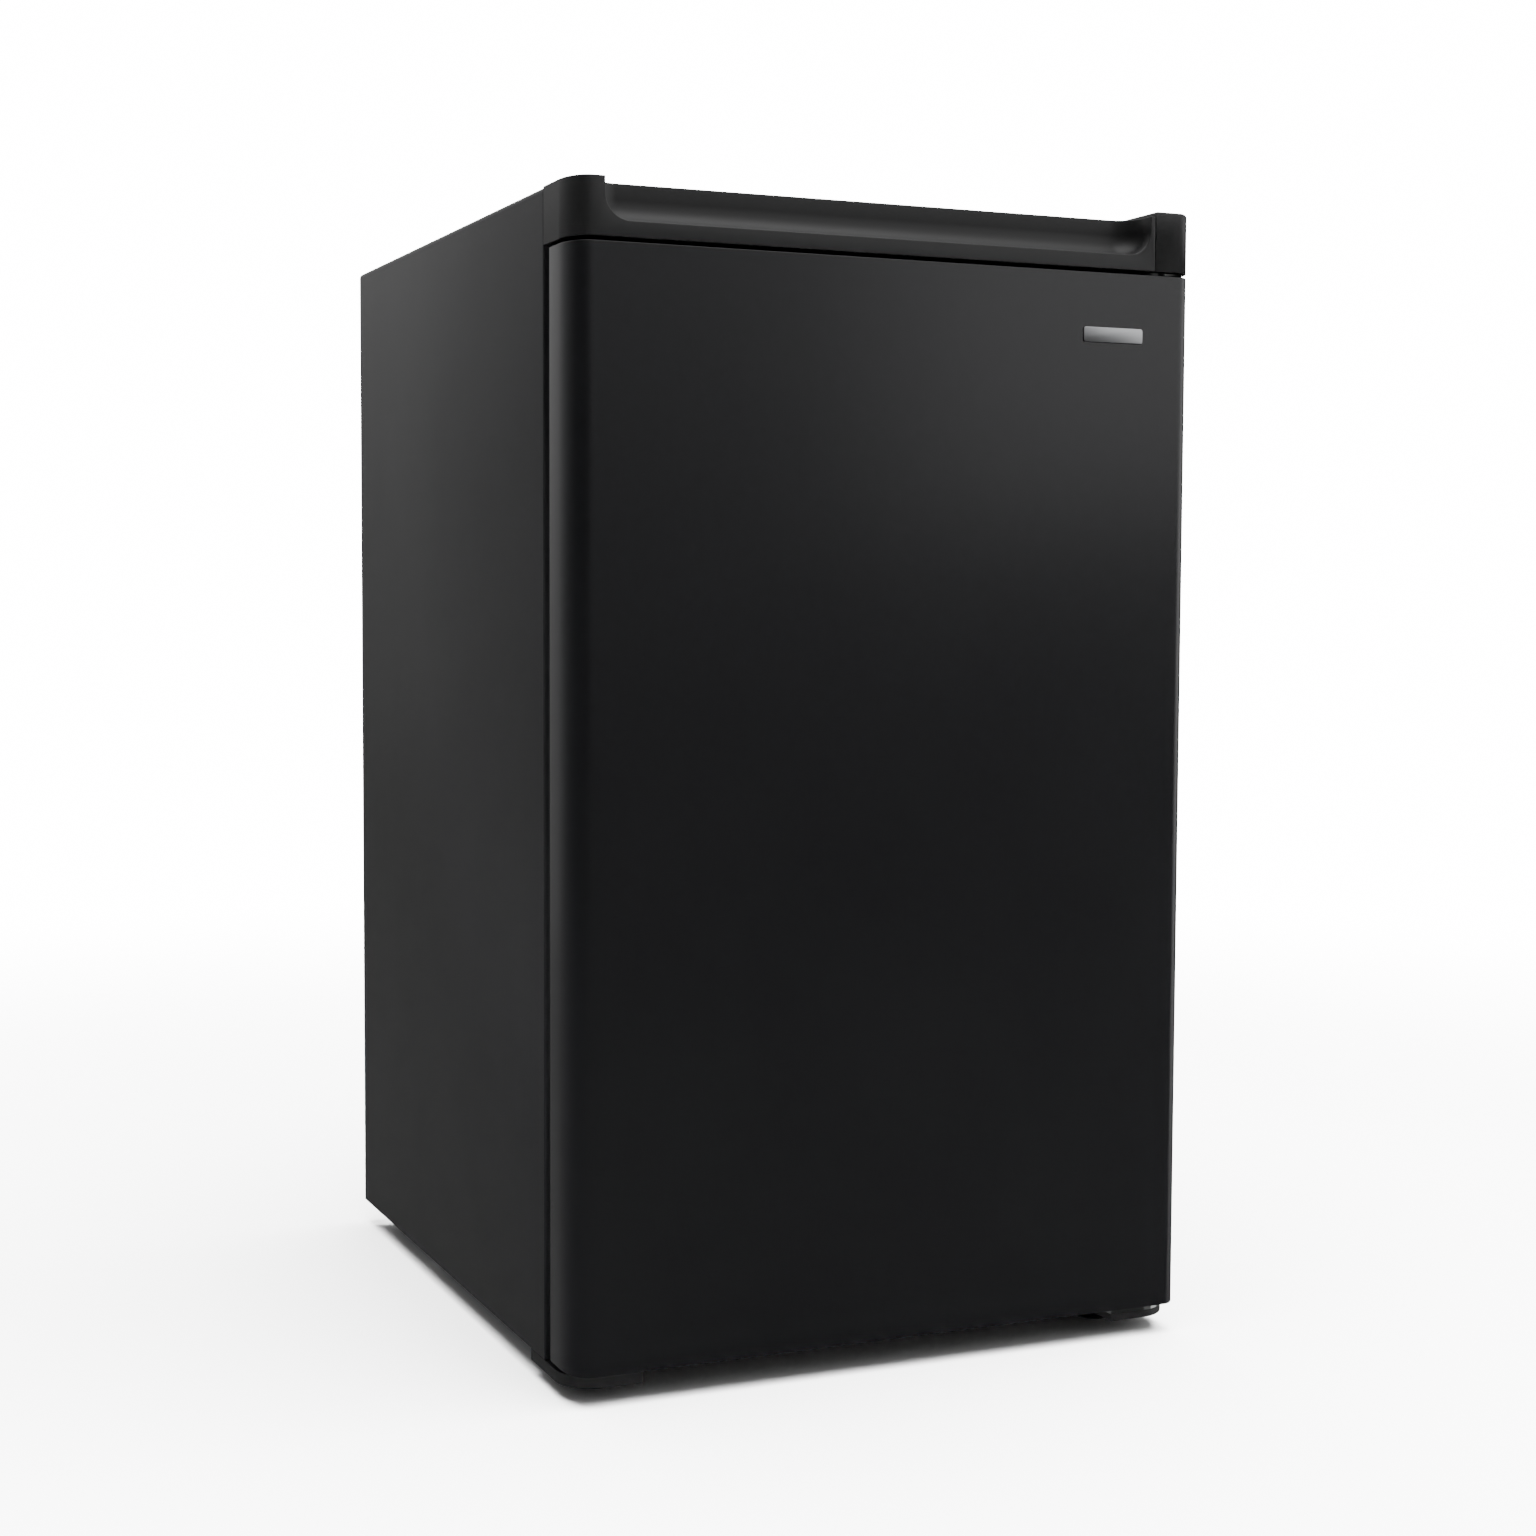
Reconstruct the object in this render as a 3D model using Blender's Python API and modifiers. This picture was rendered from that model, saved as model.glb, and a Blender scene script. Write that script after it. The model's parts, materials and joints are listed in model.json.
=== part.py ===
"""A compact refrigerator: steel cabinet, right-hinged door, ice box, shelves, crisper and compressor.

Metres, +Z up, the origin on the floor under the middle of the refrigerator. The door faces -Y.
"""

import math

import bmesh
import bpy
from mathutils import Matrix, Vector

# Overall sizes
WIDTH = 0.492
HEIGHT = 0.840
CABINET_DEPTH = 0.500
DOOR_THICKNESS = 0.0472
GASKET_GAP = 0.012
FLOOR_CLEARANCE = 0.020
FASCIA_HEIGHT = 0.040

# Sheets, walls and clearances
SHEET = 0.0006
SHEET_FOLD = 0.004
LINER = 0.0015
BACK_WALL = 0.043
BACK_RECESS = 0.022
BACK_FLANGE = 0.014
STEP_WALL = 0.040
RAIL_DEPTH = 0.020
FIT = 0.0003
RUNNING_FIT = 0.0001

# Door
CORNER_SIDE = 0.015
CORNER_DEPTH = 0.027
DOOR_TOP_GAP = 0.003
DOOR_BOTTOM_GAP = 0.0025
CAP_THICKNESS = 0.003
DOOR_LIP = 0.010
GASKET_INSET = 0.014
GASKET_WIDTH = 0.0155
GASKET_RADIUS = 0.003
LINER_LIP = 0.008
RIM_MARGIN = 0.0015
PLUG_MARGIN = 0.007
PLUG_REACH = 0.012
PLUG_RADIUS = 0.004
BADGE_SIZE = (0.050, 0.011)
BADGE_THICKNESS = 0.0008
BADGE_RADIUS = 0.0015
BADGE_SIDE = 0.047
BADGE_DROP = 0.040

# Hinges
PIN_RADIUS = 0.003
PIN_HEAD_RADIUS = 0.0052
PIN_HEAD_HEIGHT = 0.002
PIN_REACH = 0.012
PIN_SIDE = 0.012
PIN_DEPTH = 0.028
BUSH_DEPTH = 0.015
BUSH_WALL = 0.0022
BUSH_FLANGE = 0.001
BUSH_FLANGE_RADIUS = 0.0085
PLATE = 0.003
PLATE_SIDE_GAP = 0.001
PLATE_LIFT = 0.0015
PLATE_DROP = 0.008
PLATE_NOSE = 0.009

# Top fascia
EAR_LEFT = 0.024
HINGE_COVER_WIDTH = 0.036
HINGE_COVER_RISE = 0.004
SCOOP_END_WALL = 0.0045
LIP_HEIGHT = 0.011
SCOOP_DEPTH = 0.028
SCOOP_RADIUS = 0.018
FASCIA_WALL = 0.0025

# Feet and corner shoes
FOOT_RADIUS = 0.016
FOOT_HEIGHT = 0.008
FOOT_CHAMFER = 0.002
FOOT_EDGE = 0.001
STEM_RADIUS = 0.004
SHOE_LENGTH = 0.056
SHOE_BOTTOM = 0.011
SHOE_FRONT = 0.010
SHOE_BACK = 0.030
FOOT_SIDE = 0.039
FRONT_FOOT_SETBACK = 0.006
REAR_FOOT_SETBACK = 0.045

# Compressor compartment
NICHE_DEPTH = 0.150
NICHE_HEIGHT = 0.195
CROSS_THICKNESS = 0.002
CROSS_FLANGE = 0.024
CROSS_SETBACK = 0.016
CROSS_DEPTH = 0.118
COMPRESSOR_SIZE = (0.165, 0.108, 0.122)
COMPRESSOR_SHIFT = -0.060
COMPRESSOR_RADIUS = 0.042
WELD = 0.002
WELD_RISE = 0.067
FEET_SIZE = (0.196, 0.100)
FEET_THICKNESS = 0.0025
FEET_CORNER = 0.012
GROMMET_RADIUS = 0.009
GROMMET_WAIST = 0.003
GROMMET_HEIGHT = 0.015
COVER_SIZE = (0.030, 0.046, 0.062)
COVER_RISE = 0.055
COVER_RADIUS = 0.004
INLET_X = 0.095
INLET_RISE = 0.011
INLET_RADIUS = 0.008
INLET_FLANGE = 0.002
INLET_CONE = 0.006
CORD_RADIUS = 0.0036
DRIER_X = 0.150
DRIER_RADIUS = 0.009
DRIER_LENGTH = 0.095
DRIER_NECK = 0.008
DRIER_SHOULDER = 0.018
DRIER_DROP = 0.070
PIPE_BEND = 0.008
PIPE_RISE = 0.018
SUCTION_RADIUS = 0.0032
SUCTION_RISE = 0.020
SUCTION_RUN = 0.060

# Condenser
TUBE_RADIUS = 0.0024
CONDENSER_RUNS = 11
CONDENSER_BEND = 0.018
CONDENSER_SIDE = 0.068
CONDENSER_RISE = 0.030
CONDENSER_DROP = 0.040
CONDENSER_TAIL = 0.020
DOWN_LEG_SIDE = 0.038
STRAP_WIDTH = 0.014
STRAP_SIDE = 0.126
STRAP_SHEET = 0.001
STRAP_OVERLAP = 0.012

# Inside
ICE_BOX_HEIGHT = 0.128
ICE_BOX_MARGIN = 0.017
ICE_BOX_FRONT = 0.142
ICE_BOX_SHEET = 0.0015
ICE_BOX_RADIUS = 0.010
ICE_BOX_BACK_GAP = 0.012
HANGER_HEIGHT = 0.008
HANGER_WIDTH = 0.120
HANGER_MARGIN = 0.030
FRAME_DEPTH = 0.010
FRAME_OVERLAP = 0.006
FRAME_WIDTH = 0.016
FRAME_RADIUS = 0.003
SOCKET_DEPTH = 0.005
FLAP_THICKNESS = 0.006
FLAP_RADIUS = 0.0025
FLAP_GAP = 0.002
FLAP_DROP = 0.006
FLAP_PIN_RADIUS = 0.002
FLAP_GRIP = (0.070, 0.010, 0.006)
TRAY_HEIGHT = 0.024
TRAY_WALL = 0.002
TRAY_GAP = 0.008
TRAY_BACK_GAP = 0.010
TRAY_GRIP = (0.100, 0.008, 0.003)
LEDGE_REACH = 0.008
LEDGE_THICKNESS = 0.005
LEDGE_SETBACK = 0.020
LEDGE_BACK_GAP = 0.004
COVER_LIFT = 0.002
SHELF_FRONT = 0.088
SHELF_SIDE_GAP = 0.0035
SHELF_BACK_GAP = 0.007
GLASS = 0.004
TRIM_DEPTH = 0.012
TRIM_HEIGHT = 0.012
TRIM_RADIUS = 0.002
DRAWER_WALL = 0.0022
DRAWER_RADIUS = 0.006
DRAWER_SIDE_GAP = 0.012
DRAWER_BACK_GAP = 0.006
DRAWER_TOP_GAP = 0.002
DRAWER_FRONT = 0.092
DRAWER_GRIP = (0.120, 0.010, 0.005)
GRIP_DROP = 0.003
RACK_SIDE_GAP = 0.015
RACK_DEPTH = 0.066
RACK_WALL = 0.0022
RACK_RADIUS = 0.005
BOTTOM_RACK_RISE = 0.0215
MIDDLE_RACK_RISE = 0.2315
TOP_RACK_RISE = 0.3865
BOTTLE_RACK_HEIGHT = 0.085
CAN_RACK_HEIGHT = 0.055
BAR_RADIUS = 0.002
BAR_RISE = 0.030
BAR_BEND = 0.012
BAR_INSET = 0.004
HOUSING_DEPTH = 0.028
HOUSING_LENGTH = 0.100
HOUSING_MARGIN = 0.0195
HOUSING_RADIUS = 0.005
KNOB_RADIUS = 0.017
KNOB_TOP_RADIUS = 0.014
KNOB_DEPTH = 0.012
KNOB_CHAMFER = 0.002
KNOB_STEM = 0.003
KNOB_STEM_LENGTH = 0.008
KNOB_HOLE_DEPTH = 0.010

# Worked out from the sizes above
HALF = WIDTH / 2
BEYOND = WIDTH + CABINET_DEPTH + HEIGHT
BACK_Y = (CABINET_DEPTH + GASKET_GAP + DOOR_THICKNESS + BADGE_THICKNESS) / 2
FRONT_Y = BACK_Y - CABINET_DEPTH
DOOR_BACK_Y = FRONT_Y - GASKET_GAP
DOOR_FRONT_Y = DOOR_BACK_Y - DOOR_THICKNESS
FASCIA_Z = HEIGHT - FASCIA_HEIGHT
DOOR_TOP = FASCIA_Z - DOOR_TOP_GAP
DOOR_BOTTOM = FLOOR_CLEARANCE + DOOR_BOTTOM_GAP
RIM = GASKET_INSET + GASKET_WIDTH + RIM_MARGIN + LINER_LIP
ROOM_HALF = HALF - RIM
ROOM_TOP = DOOR_TOP - RIM
ROOM_FLOOR = DOOR_BOTTOM + RIM
PANEL_Y = BACK_Y - BACK_RECESS
ROOM_BACK = PANEL_Y - BACK_WALL
NICHE_FRONT = BACK_Y - NICHE_DEPTH
NICHE_TOP = FLOOR_CLEARANCE + NICHE_HEIGHT
STEP_FRONT = NICHE_FRONT - STEP_WALL
STEP_TOP = NICHE_TOP + STEP_WALL
INSIDE_HALF = HALF - SHEET - FIT
PIN_X = HALF - PIN_SIDE
PIN_Y = DOOR_FRONT_Y + PIN_DEPTH
PLUG_HALF = ROOM_HALF - PLUG_MARGIN
PLUG_Y = FRONT_Y + PLUG_REACH
FLANGE_Y = DOOR_BACK_Y + FIT
SHOE_TOP = FLOOR_CLEARANCE - FIT
BUSH_RADIUS = PIN_RADIUS + RUNNING_FIT + BUSH_WALL
FOOT_X = HALF - FOOT_SIDE
FRONT_FOOT_Y = FRONT_Y + FRONT_FOOT_SETBACK
REAR_FOOT_Y = BACK_Y - REAR_FOOT_SETBACK
COVER_LEVEL = STEP_TOP + COVER_LIFT
ICE_TOP = ROOM_TOP - HANGER_HEIGHT
ICE_BOTTOM = ICE_TOP - ICE_BOX_HEIGHT
ICE_FRONT = FRONT_Y + ICE_BOX_FRONT
ICE_HALF = ROOM_HALF - ICE_BOX_MARGIN
FRAME_FRONT = ICE_FRONT - FIT - FRAME_DEPTH
WINDOW_HALF = ICE_HALF + FRAME_OVERLAP - FRAME_WIDTH
WINDOW_BOTTOM = ICE_BOTTOM - FRAME_OVERLAP + FRAME_WIDTH
WINDOW_TOP = ICE_TOP + FRAME_OVERLAP - FRAME_WIDTH
FLAP_AXIS_Y = FRAME_FRONT + FRAME_DEPTH / 2
FLAP_AXIS_Z = WINDOW_TOP - FLAP_DROP
TRAY_LEVEL = ICE_BOTTOM - TRAY_GAP - TRAY_HEIGHT
SHELF_SPACING = (TRAY_LEVEL - COVER_LEVEL) / 3
LOWER_LEVEL = COVER_LEVEL + SHELF_SPACING
UPPER_LEVEL = COVER_LEVEL + 2 * SHELF_SPACING
SPARE_LEVEL = COVER_LEVEL + 1.5 * SHELF_SPACING
HOUSING_Z = COVER_LEVEL + 2.5 * SHELF_SPACING
HOUSING_HEIGHT = SHELF_SPACING - 2 * HOUSING_MARGIN
COMPRESSOR_Y = (NICHE_FRONT + BACK_Y) / 2
DECK = FLOOR_CLEARANCE + CROSS_THICKNESS
FEET_Z = DECK + FIT + GROMMET_HEIGHT + FIT
BELLY = FEET_Z + FEET_THICKNESS
CROSS_BACK = BACK_Y - CROSS_SETBACK
CONDENSER_Y = (PANEL_Y + BACK_Y) / 2 - STRAP_SHEET
CONDENSER_HALF = HALF - CONDENSER_SIDE
CONDENSER_LOW = NICHE_TOP + CONDENSER_RISE
CONDENSER_HIGH = HEIGHT - CONDENSER_DROP
CONDENSER_END = NICHE_TOP - CONDENSER_TAIL
DISCHARGE = (COMPRESSOR_SHIFT - 0.050, COMPRESSOR_Y + 0.030)
SUCTION = (COMPRESSOR_SHIFT + 0.030, COMPRESSOR_Y + 0.020)
DRIER = (DRIER_X, COMPRESSOR_Y + 0.025)
INLET = (INLET_X, DECK + INLET_RISE)
COVER_SPLIT = HALF - HINGE_COVER_WIDTH
PLUG_LOW = ROOM_FLOOR + PLUG_MARGIN
PLUG_HIGH = ROOM_TOP - PLUG_MARGIN
RACKS = (
    ("bottom", PLUG_LOW + BOTTOM_RACK_RISE, BOTTLE_RACK_HEIGHT),
    ("middle", PLUG_LOW + MIDDLE_RACK_RISE, CAN_RACK_HEIGHT),
    ("top", PLUG_LOW + TOP_RACK_RISE, CAN_RACK_HEIGHT),
)
SIDES = 24

FINISHES = {
    "black_enamel": ((0.012, 0.012, 0.013), 0.30, 0.0),
    "black_plastic": ((0.016, 0.016, 0.017), 0.50, 0.0),
    "white_liner": ((0.80, 0.81, 0.80), 0.35, 0.0),
    "grey_gasket": ((0.045, 0.045, 0.048), 0.60, 0.0),
    "foam": ((0.78, 0.66, 0.36), 0.90, 0.0),
    "zinc_steel": ((0.55, 0.56, 0.57), 0.35, 1.0),
    "aluminium": ((0.78, 0.79, 0.80), 0.35, 1.0),
    "copper": ((0.72, 0.38, 0.24), 0.30, 1.0),
    "rubber": ((0.02, 0.02, 0.02), 0.85, 0.0),
    "clear_plastic": ((0.70, 0.80, 0.84), 0.12, 0.0),
    "glass": ((0.62, 0.78, 0.72), 0.05, 0.0),
    "chrome": ((0.80, 0.80, 0.80), 0.10, 1.0),
    "silver_print": ((0.62, 0.62, 0.63), 0.30, 1.0),
}


def clear_scene():
    """Removes everything in the scene, so that the file starts empty."""
    for old in list(bpy.data.objects):
        bpy.data.objects.remove(old, do_unlink=True)


def new_collection(name):
    """A collection of the scene, made new."""
    collection = bpy.data.collections.new(name)
    bpy.context.scene.collection.children.link(collection)
    return collection


def material(name):
    """The Principled material of one finish, made once."""
    found = bpy.data.materials.get(name)
    if found:
        return found
    colour, roughness, metallic = FINISHES[name]
    made = bpy.data.materials.new(name)
    made.use_nodes = True
    shader = made.node_tree.nodes["Principled BSDF"]
    shader.inputs["Base Color"].default_value = (*colour, 1.0)
    shader.inputs["Roughness"].default_value = roughness
    shader.inputs["Metallic"].default_value = metallic
    return made


def pivot(name, place):
    """An empty on a joint's axis, which the pieces that move with it hang from."""
    empty = bpy.data.objects.new(name, None)
    empty.location = place
    empty.empty_display_size = 0.02
    PARTS.objects.link(empty)
    return empty


def place(obj, middle, parent):
    """Puts an object whose mesh is centred on its origin at a point, under its joint's empty."""
    obj.location = Vector(middle) - (parent.location if parent else Vector())
    obj.parent = parent


def piece(name, shape, finish, parent=None):
    """A part made from a bmesh in the refrigerator's own coordinates."""
    points = [vert.co for vert in shape.verts]
    low = Vector(min(co[i] for co in points) for i in range(3))
    high = Vector(max(co[i] for co in points) for i in range(3))
    middle = (low + high) / 2
    bmesh.ops.translate(shape, verts=shape.verts, vec=-middle)
    mesh = bpy.data.meshes.new(name)
    shape.to_mesh(mesh)
    shape.free()
    mesh.shade_smooth()
    mesh.set_sharp_from_angle(angle=math.radians(35))
    mesh.materials.append(material(finish))
    obj = bpy.data.objects.new(name, mesh)
    place(obj, middle, parent)
    PARTS.objects.link(obj)
    return obj


def helper(shape, name="helper"):
    """A shape that cuts or extends another and is no part itself."""
    mesh = bpy.data.meshes.new(name)
    shape.to_mesh(mesh)
    shape.free()
    obj = bpy.data.objects.new(name, mesh)
    obj.hide_render = True
    obj.display_type = "WIRE"
    CUTTERS.objects.link(obj)
    return obj


def boolean(obj, shape, operation):
    """Adds a Boolean of an object with a shape."""
    modifier = obj.modifiers.new(operation.lower(), "BOOLEAN")
    modifier.operation = operation
    modifier.object = helper(shape)


def carve(obj, *shapes):
    """Cuts shapes away from an object."""
    for shape in shapes:
        boolean(obj, shape, "DIFFERENCE")


def extend(obj, *shapes):
    """Joins shapes to an object."""
    for shape in shapes:
        boolean(obj, shape, "UNION")


def block(low, high, radius=0.0, segments=3, rounded=None):
    """A box between two corners; rounded picks the edges that get the radius, from their two ends."""
    shape = bmesh.new()
    bmesh.ops.create_cube(shape, size=1.0)
    size = [b - a for a, b in zip(low, high)]
    middle = [(a + b) / 2 for a, b in zip(low, high)]
    bmesh.ops.scale(shape, vec=size, verts=shape.verts)
    bmesh.ops.translate(shape, vec=middle, verts=shape.verts)
    if radius:
        edges = [e for e in shape.edges if rounded is None or rounded(e.verts[0].co, e.verts[1].co)]
        round_edges(shape, edges, radius, segments)
    return shape


def round_edges(shape, edges, radius, segments):
    """Rounds edges of a shape to a radius."""
    bmesh.ops.bevel(
        shape,
        geom=edges,
        offset=radius,
        offset_type="OFFSET",
        segments=segments,
        profile=0.5,
        affect="EDGES",
        clamp_overlap=True,
    )


def slab(outline, axis, start, end):
    """A flat outline drawn out along an axis: pairs are (y, z) for X, (x, z) for Y and (x, y) for Z."""
    lift = {
        "X": lambda a, b: (start, a, b),
        "Y": lambda a, b: (a, start, b),
        "Z": lambda a, b: (a, b, start),
    }[axis]
    shape = bmesh.new()
    face = shape.faces.new([shape.verts.new(lift(a, b)) for a, b in outline])
    step = Vector((axis == "X", axis == "Y", axis == "Z")) * (end - start)
    drawn = bmesh.ops.extrude_face_region(shape, geom=[face], use_keep_orig=True)
    moved = [item for item in drawn["geom"] if isinstance(item, bmesh.types.BMVert)]
    bmesh.ops.translate(shape, vec=step, verts=moved)
    bmesh.ops.recalc_face_normals(shape, faces=shape.faces)
    return shape


def rod(start, end, radius, sides=SIDES):
    """A cylinder from one point to another."""
    way = Vector(end) - Vector(start)
    turn = way.to_track_quat("Z", "Y").to_matrix().to_4x4()
    shape = bmesh.new()
    bmesh.ops.create_cone(
        shape,
        cap_ends=True,
        segments=sides,
        radius1=radius,
        radius2=radius,
        depth=way.length,
        matrix=Matrix.Translation((Vector(start) + Vector(end)) / 2) @ turn,
    )
    return shape


def turned(name, profile, at, finish, parent=None, closed=False, sides=SIDES, tilt=(0, 0, 0)):
    """A turned part: the profile of (radius, height) pairs runs down its outer side, about its own Z."""
    mesh = bpy.data.meshes.new(name)
    ends = len(profile) if closed else len(profile) - 1
    edges = [(i, (i + 1) % len(profile)) for i in range(ends)]
    mesh.from_pydata([(r, 0, z) for r, z in profile], edges, [])
    mesh.materials.append(material(finish))
    obj = bpy.data.objects.new(name, mesh)
    place(obj, at, parent)
    obj.rotation_euler = tilt
    screw = obj.modifiers.new("turn", "SCREW")
    screw.steps = sides
    screw.render_steps = sides
    screw.use_merge_vertices = True
    screw.merge_threshold = 0.0001
    screw.use_smooth_shade = False
    PARTS.objects.link(obj)
    return obj


def wire(name, points, radius, finish, parent=None):
    """A round wire or tube along straight runs and bends given as points."""
    curve = bpy.data.curves.new(name, "CURVE")
    curve.dimensions = "3D"
    curve.bevel_depth = radius
    curve.bevel_resolution = 2
    curve.use_fill_caps = True
    curve.materials.append(material(finish))
    spline = curve.splines.new("POLY")
    spline.points.add(len(points) - 1)
    for point, co in zip(spline.points, points):
        point.co = (*co, 1.0)
    obj = bpy.data.objects.new(name, curve)
    place(obj, (0, 0, 0), parent)
    PARTS.objects.link(obj)
    return obj


def bent(corners, radius, steps=4):
    """Points along a path through corners, each corner rounded to a bend radius."""
    corners = [Vector(c) for c in corners]
    points = [corners[0]]
    for before, corner, after in zip(corners, corners[1:], corners[2:]):
        into = (before - corner).normalized()
        out = (after - corner).normalized()
        half = into.angle(out) / 2
        reach = radius / math.tan(half)
        middle = corner + (into + out).normalized() * (radius / math.sin(half))
        first = (corner + into * reach - middle).normalized()
        last = (corner + out * reach - middle).normalized()
        for i in range(steps + 1):
            points.append(middle + first.slerp(last, i / steps) * radius)
    points.append(corners[-1])
    return points


def front_plan(back, inset=0.0, steps=6):
    """The plan of the door or the fascia: square at the back, with softly rounded front corners."""
    side = HALF - inset
    across = CORNER_SIDE - inset
    along = CORNER_DEPTH - inset
    middle_x = side - across
    middle_y = DOOR_FRONT_Y + CORNER_DEPTH
    plan = [(side, back), (-side, back)]
    for sign, first in ((-1, math.pi), (1, 1.5 * math.pi)):
        for i in range(steps + 1):
            angle = first + i / steps * math.pi / 2
            plan.append((sign * middle_x + across * math.cos(angle), middle_y + along * math.sin(angle)))
    return plan


def open_box(name, low, high, wall, finish, parent, radius):
    """A tray or drawer with an open top."""
    tray = piece(name, block(low, high, radius, 2, upright), finish, parent)
    inner_low = [v + wall for v in low]
    inner_high = (high[0] - wall, high[1] - wall, high[2] + wall)
    carve(tray, block(inner_low, inner_high, radius - wall / 2, 2, upright))
    return tray


def upright(a, b):
    """Whether an edge between two points changes its height."""
    return abs(a.z - b.z) > 1e-6


def top_lengthwise(a, b):
    """The two long top edges of the cabinet, from front to back."""
    return abs(a.y - b.y) > 1e-6 and a.z > HEIGHT / 2


def along_x(a, b):
    """Whether an edge between two points runs across."""
    return abs(a.x - b.x) > 1e-6


def along_y(a, b):
    """Whether an edge between two points runs from front to back."""
    return abs(a.y - b.y) > 1e-6


# Cabinet


def outer_shell():
    """The steel wrap: the sides and the top in one sheet, with a flange turned in at the front and back."""
    shell = piece(
        "outer_shell",
        block((-HALF, FRONT_Y, FLOOR_CLEARANCE), (HALF, BACK_Y, HEIGHT), SHEET_FOLD, 3, top_lengthwise),
        "black_enamel",
    )
    inner_half = HALF - SHEET
    hollow = block(
        (-inner_half, FRONT_Y + SHEET, -HEIGHT),
        (inner_half, BACK_Y - SHEET, HEIGHT - SHEET),
        SHEET_FOLD - SHEET,
        3,
        top_lengthwise,
    )
    mouth_half = ROOM_HALF + LINER_LIP
    front = block(
        (-mouth_half, FRONT_Y - SHEET, -HEIGHT), (mouth_half, FRONT_Y + 2 * SHEET, ROOM_TOP + LINER_LIP)
    )
    back_half = HALF - BACK_FLANGE
    back = block((-back_half, BACK_Y - 2 * SHEET, -HEIGHT), (back_half, BACK_Y + SHEET, HEIGHT - BACK_FLANGE))
    carve(shell, hollow, front, back)


def bottom_rail():
    """The folded rail that closes the front of the cabinet under the opening."""
    low = FLOOR_CLEARANCE
    high = ROOM_FLOOR - LINER_LIP
    turn_in = FRONT_Y + RAIL_DEPTH
    outline = [
        (FRONT_Y, low),
        (turn_in, low),
        (turn_in, low + SHEET),
        (FRONT_Y + SHEET, low + SHEET),
        (FRONT_Y + SHEET, high),
        (FRONT_Y, high),
    ]
    half = ROOM_HALF + LINER_LIP - FIT
    piece("bottom_rail", slab(outline, "X", -half, half), "black_enamel")


def base_pan():
    """The bottom sheet, which steps up over the compressor."""
    start = FRONT_Y + RAIL_DEPTH + FIT
    end = PANEL_Y - SHEET - FIT
    low = FLOOR_CLEARANCE
    outline = [
        (start, low),
        (NICHE_FRONT, low),
        (NICHE_FRONT, NICHE_TOP),
        (end, NICHE_TOP),
        (end, NICHE_TOP + SHEET),
        (NICHE_FRONT - SHEET, NICHE_TOP + SHEET),
        (NICHE_FRONT - SHEET, low + SHEET),
        (start, low + SHEET),
    ]
    piece("base_pan", slab(outline, "X", -INSIDE_HALF, INSIDE_HALF), "zinc_steel")


def back_panel():
    """The sheet that closes the back over the compressor, set in from the wrap's rear edge."""
    low = (-INSIDE_HALF, PANEL_Y - SHEET, NICHE_TOP)
    high = (INSIDE_HALF, PANEL_Y, HEIGHT - SHEET - FIT - SHEET_FOLD)
    piece("back_panel", block(low, high), "zinc_steel")


def room_outline(grow, mouth):
    """The side view of the inside, with its step over the compressor, grown outwards by a distance."""
    return [
        (mouth, ROOM_FLOOR - grow),
        (STEP_FRONT + grow, ROOM_FLOOR - grow),
        (STEP_FRONT + grow, STEP_TOP - grow),
        (ROOM_BACK + grow, STEP_TOP - grow),
        (ROOM_BACK + grow, ROOM_TOP + grow),
        (mouth, ROOM_TOP + grow),
    ]


def cabinet_foam():
    """The insulation between the wrap and the liner."""
    front = FRONT_Y + LINER + FIT
    back = PANEL_Y - SHEET - FIT
    low = FLOOR_CLEARANCE + SHEET + FIT
    fold = SHEET_FOLD - SHEET - FIT
    top = HEIGHT - SHEET - FIT
    foam = piece(
        "cabinet_foam",
        block((-INSIDE_HALF, front, low), (INSIDE_HALF, back, top), fold, 3, top_lengthwise),
        "foam",
    )
    niche = block((-HALF, NICHE_FRONT - SHEET - FIT, 0), (HALF, BACK_Y, NICHE_TOP + SHEET + FIT))
    grow = LINER + FIT
    room = slab(room_outline(grow, FRONT_Y - grow), "X", -ROOM_HALF - grow, ROOM_HALF + grow)
    carve(foam, niche, room)


def inner_liner():
    """The white inside, with its lip round the opening and the ledges that hold the shelves."""
    liner = piece(
        "inner_liner",
        slab(room_outline(LINER, FRONT_Y + LINER / 2), "X", -ROOM_HALF - LINER, ROOM_HALF + LINER),
        "white_liner",
    )
    lip = LINER_LIP - FIT
    rim = block(
        (-ROOM_HALF - lip, FRONT_Y, ROOM_FLOOR - lip), (ROOM_HALF + lip, FRONT_Y + LINER, ROOM_TOP + lip)
    )
    extend(liner, rim)
    carve(liner, slab(room_outline(0.0, FRONT_Y - LINER), "X", -ROOM_HALF, ROOM_HALF))
    for level in (COVER_LEVEL, LOWER_LEVEL, SPARE_LEVEL, UPPER_LEVEL, TRAY_LEVEL):
        for sign in (-1, 1):
            wall = sign * (ROOM_HALF + LINER / 2)
            edge = sign * (ROOM_HALF - LEDGE_REACH)
            below_step = level - LEDGE_THICKNESS < STEP_TOP
            end = STEP_FRONT + LINER / 2 if below_step else ROOM_BACK - LEDGE_BACK_GAP
            low = (min(wall, edge), FRONT_Y + LEDGE_SETBACK, level - LEDGE_THICKNESS)
            high = (max(wall, edge), end, level)
            extend(liner, block(low, high))


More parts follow.
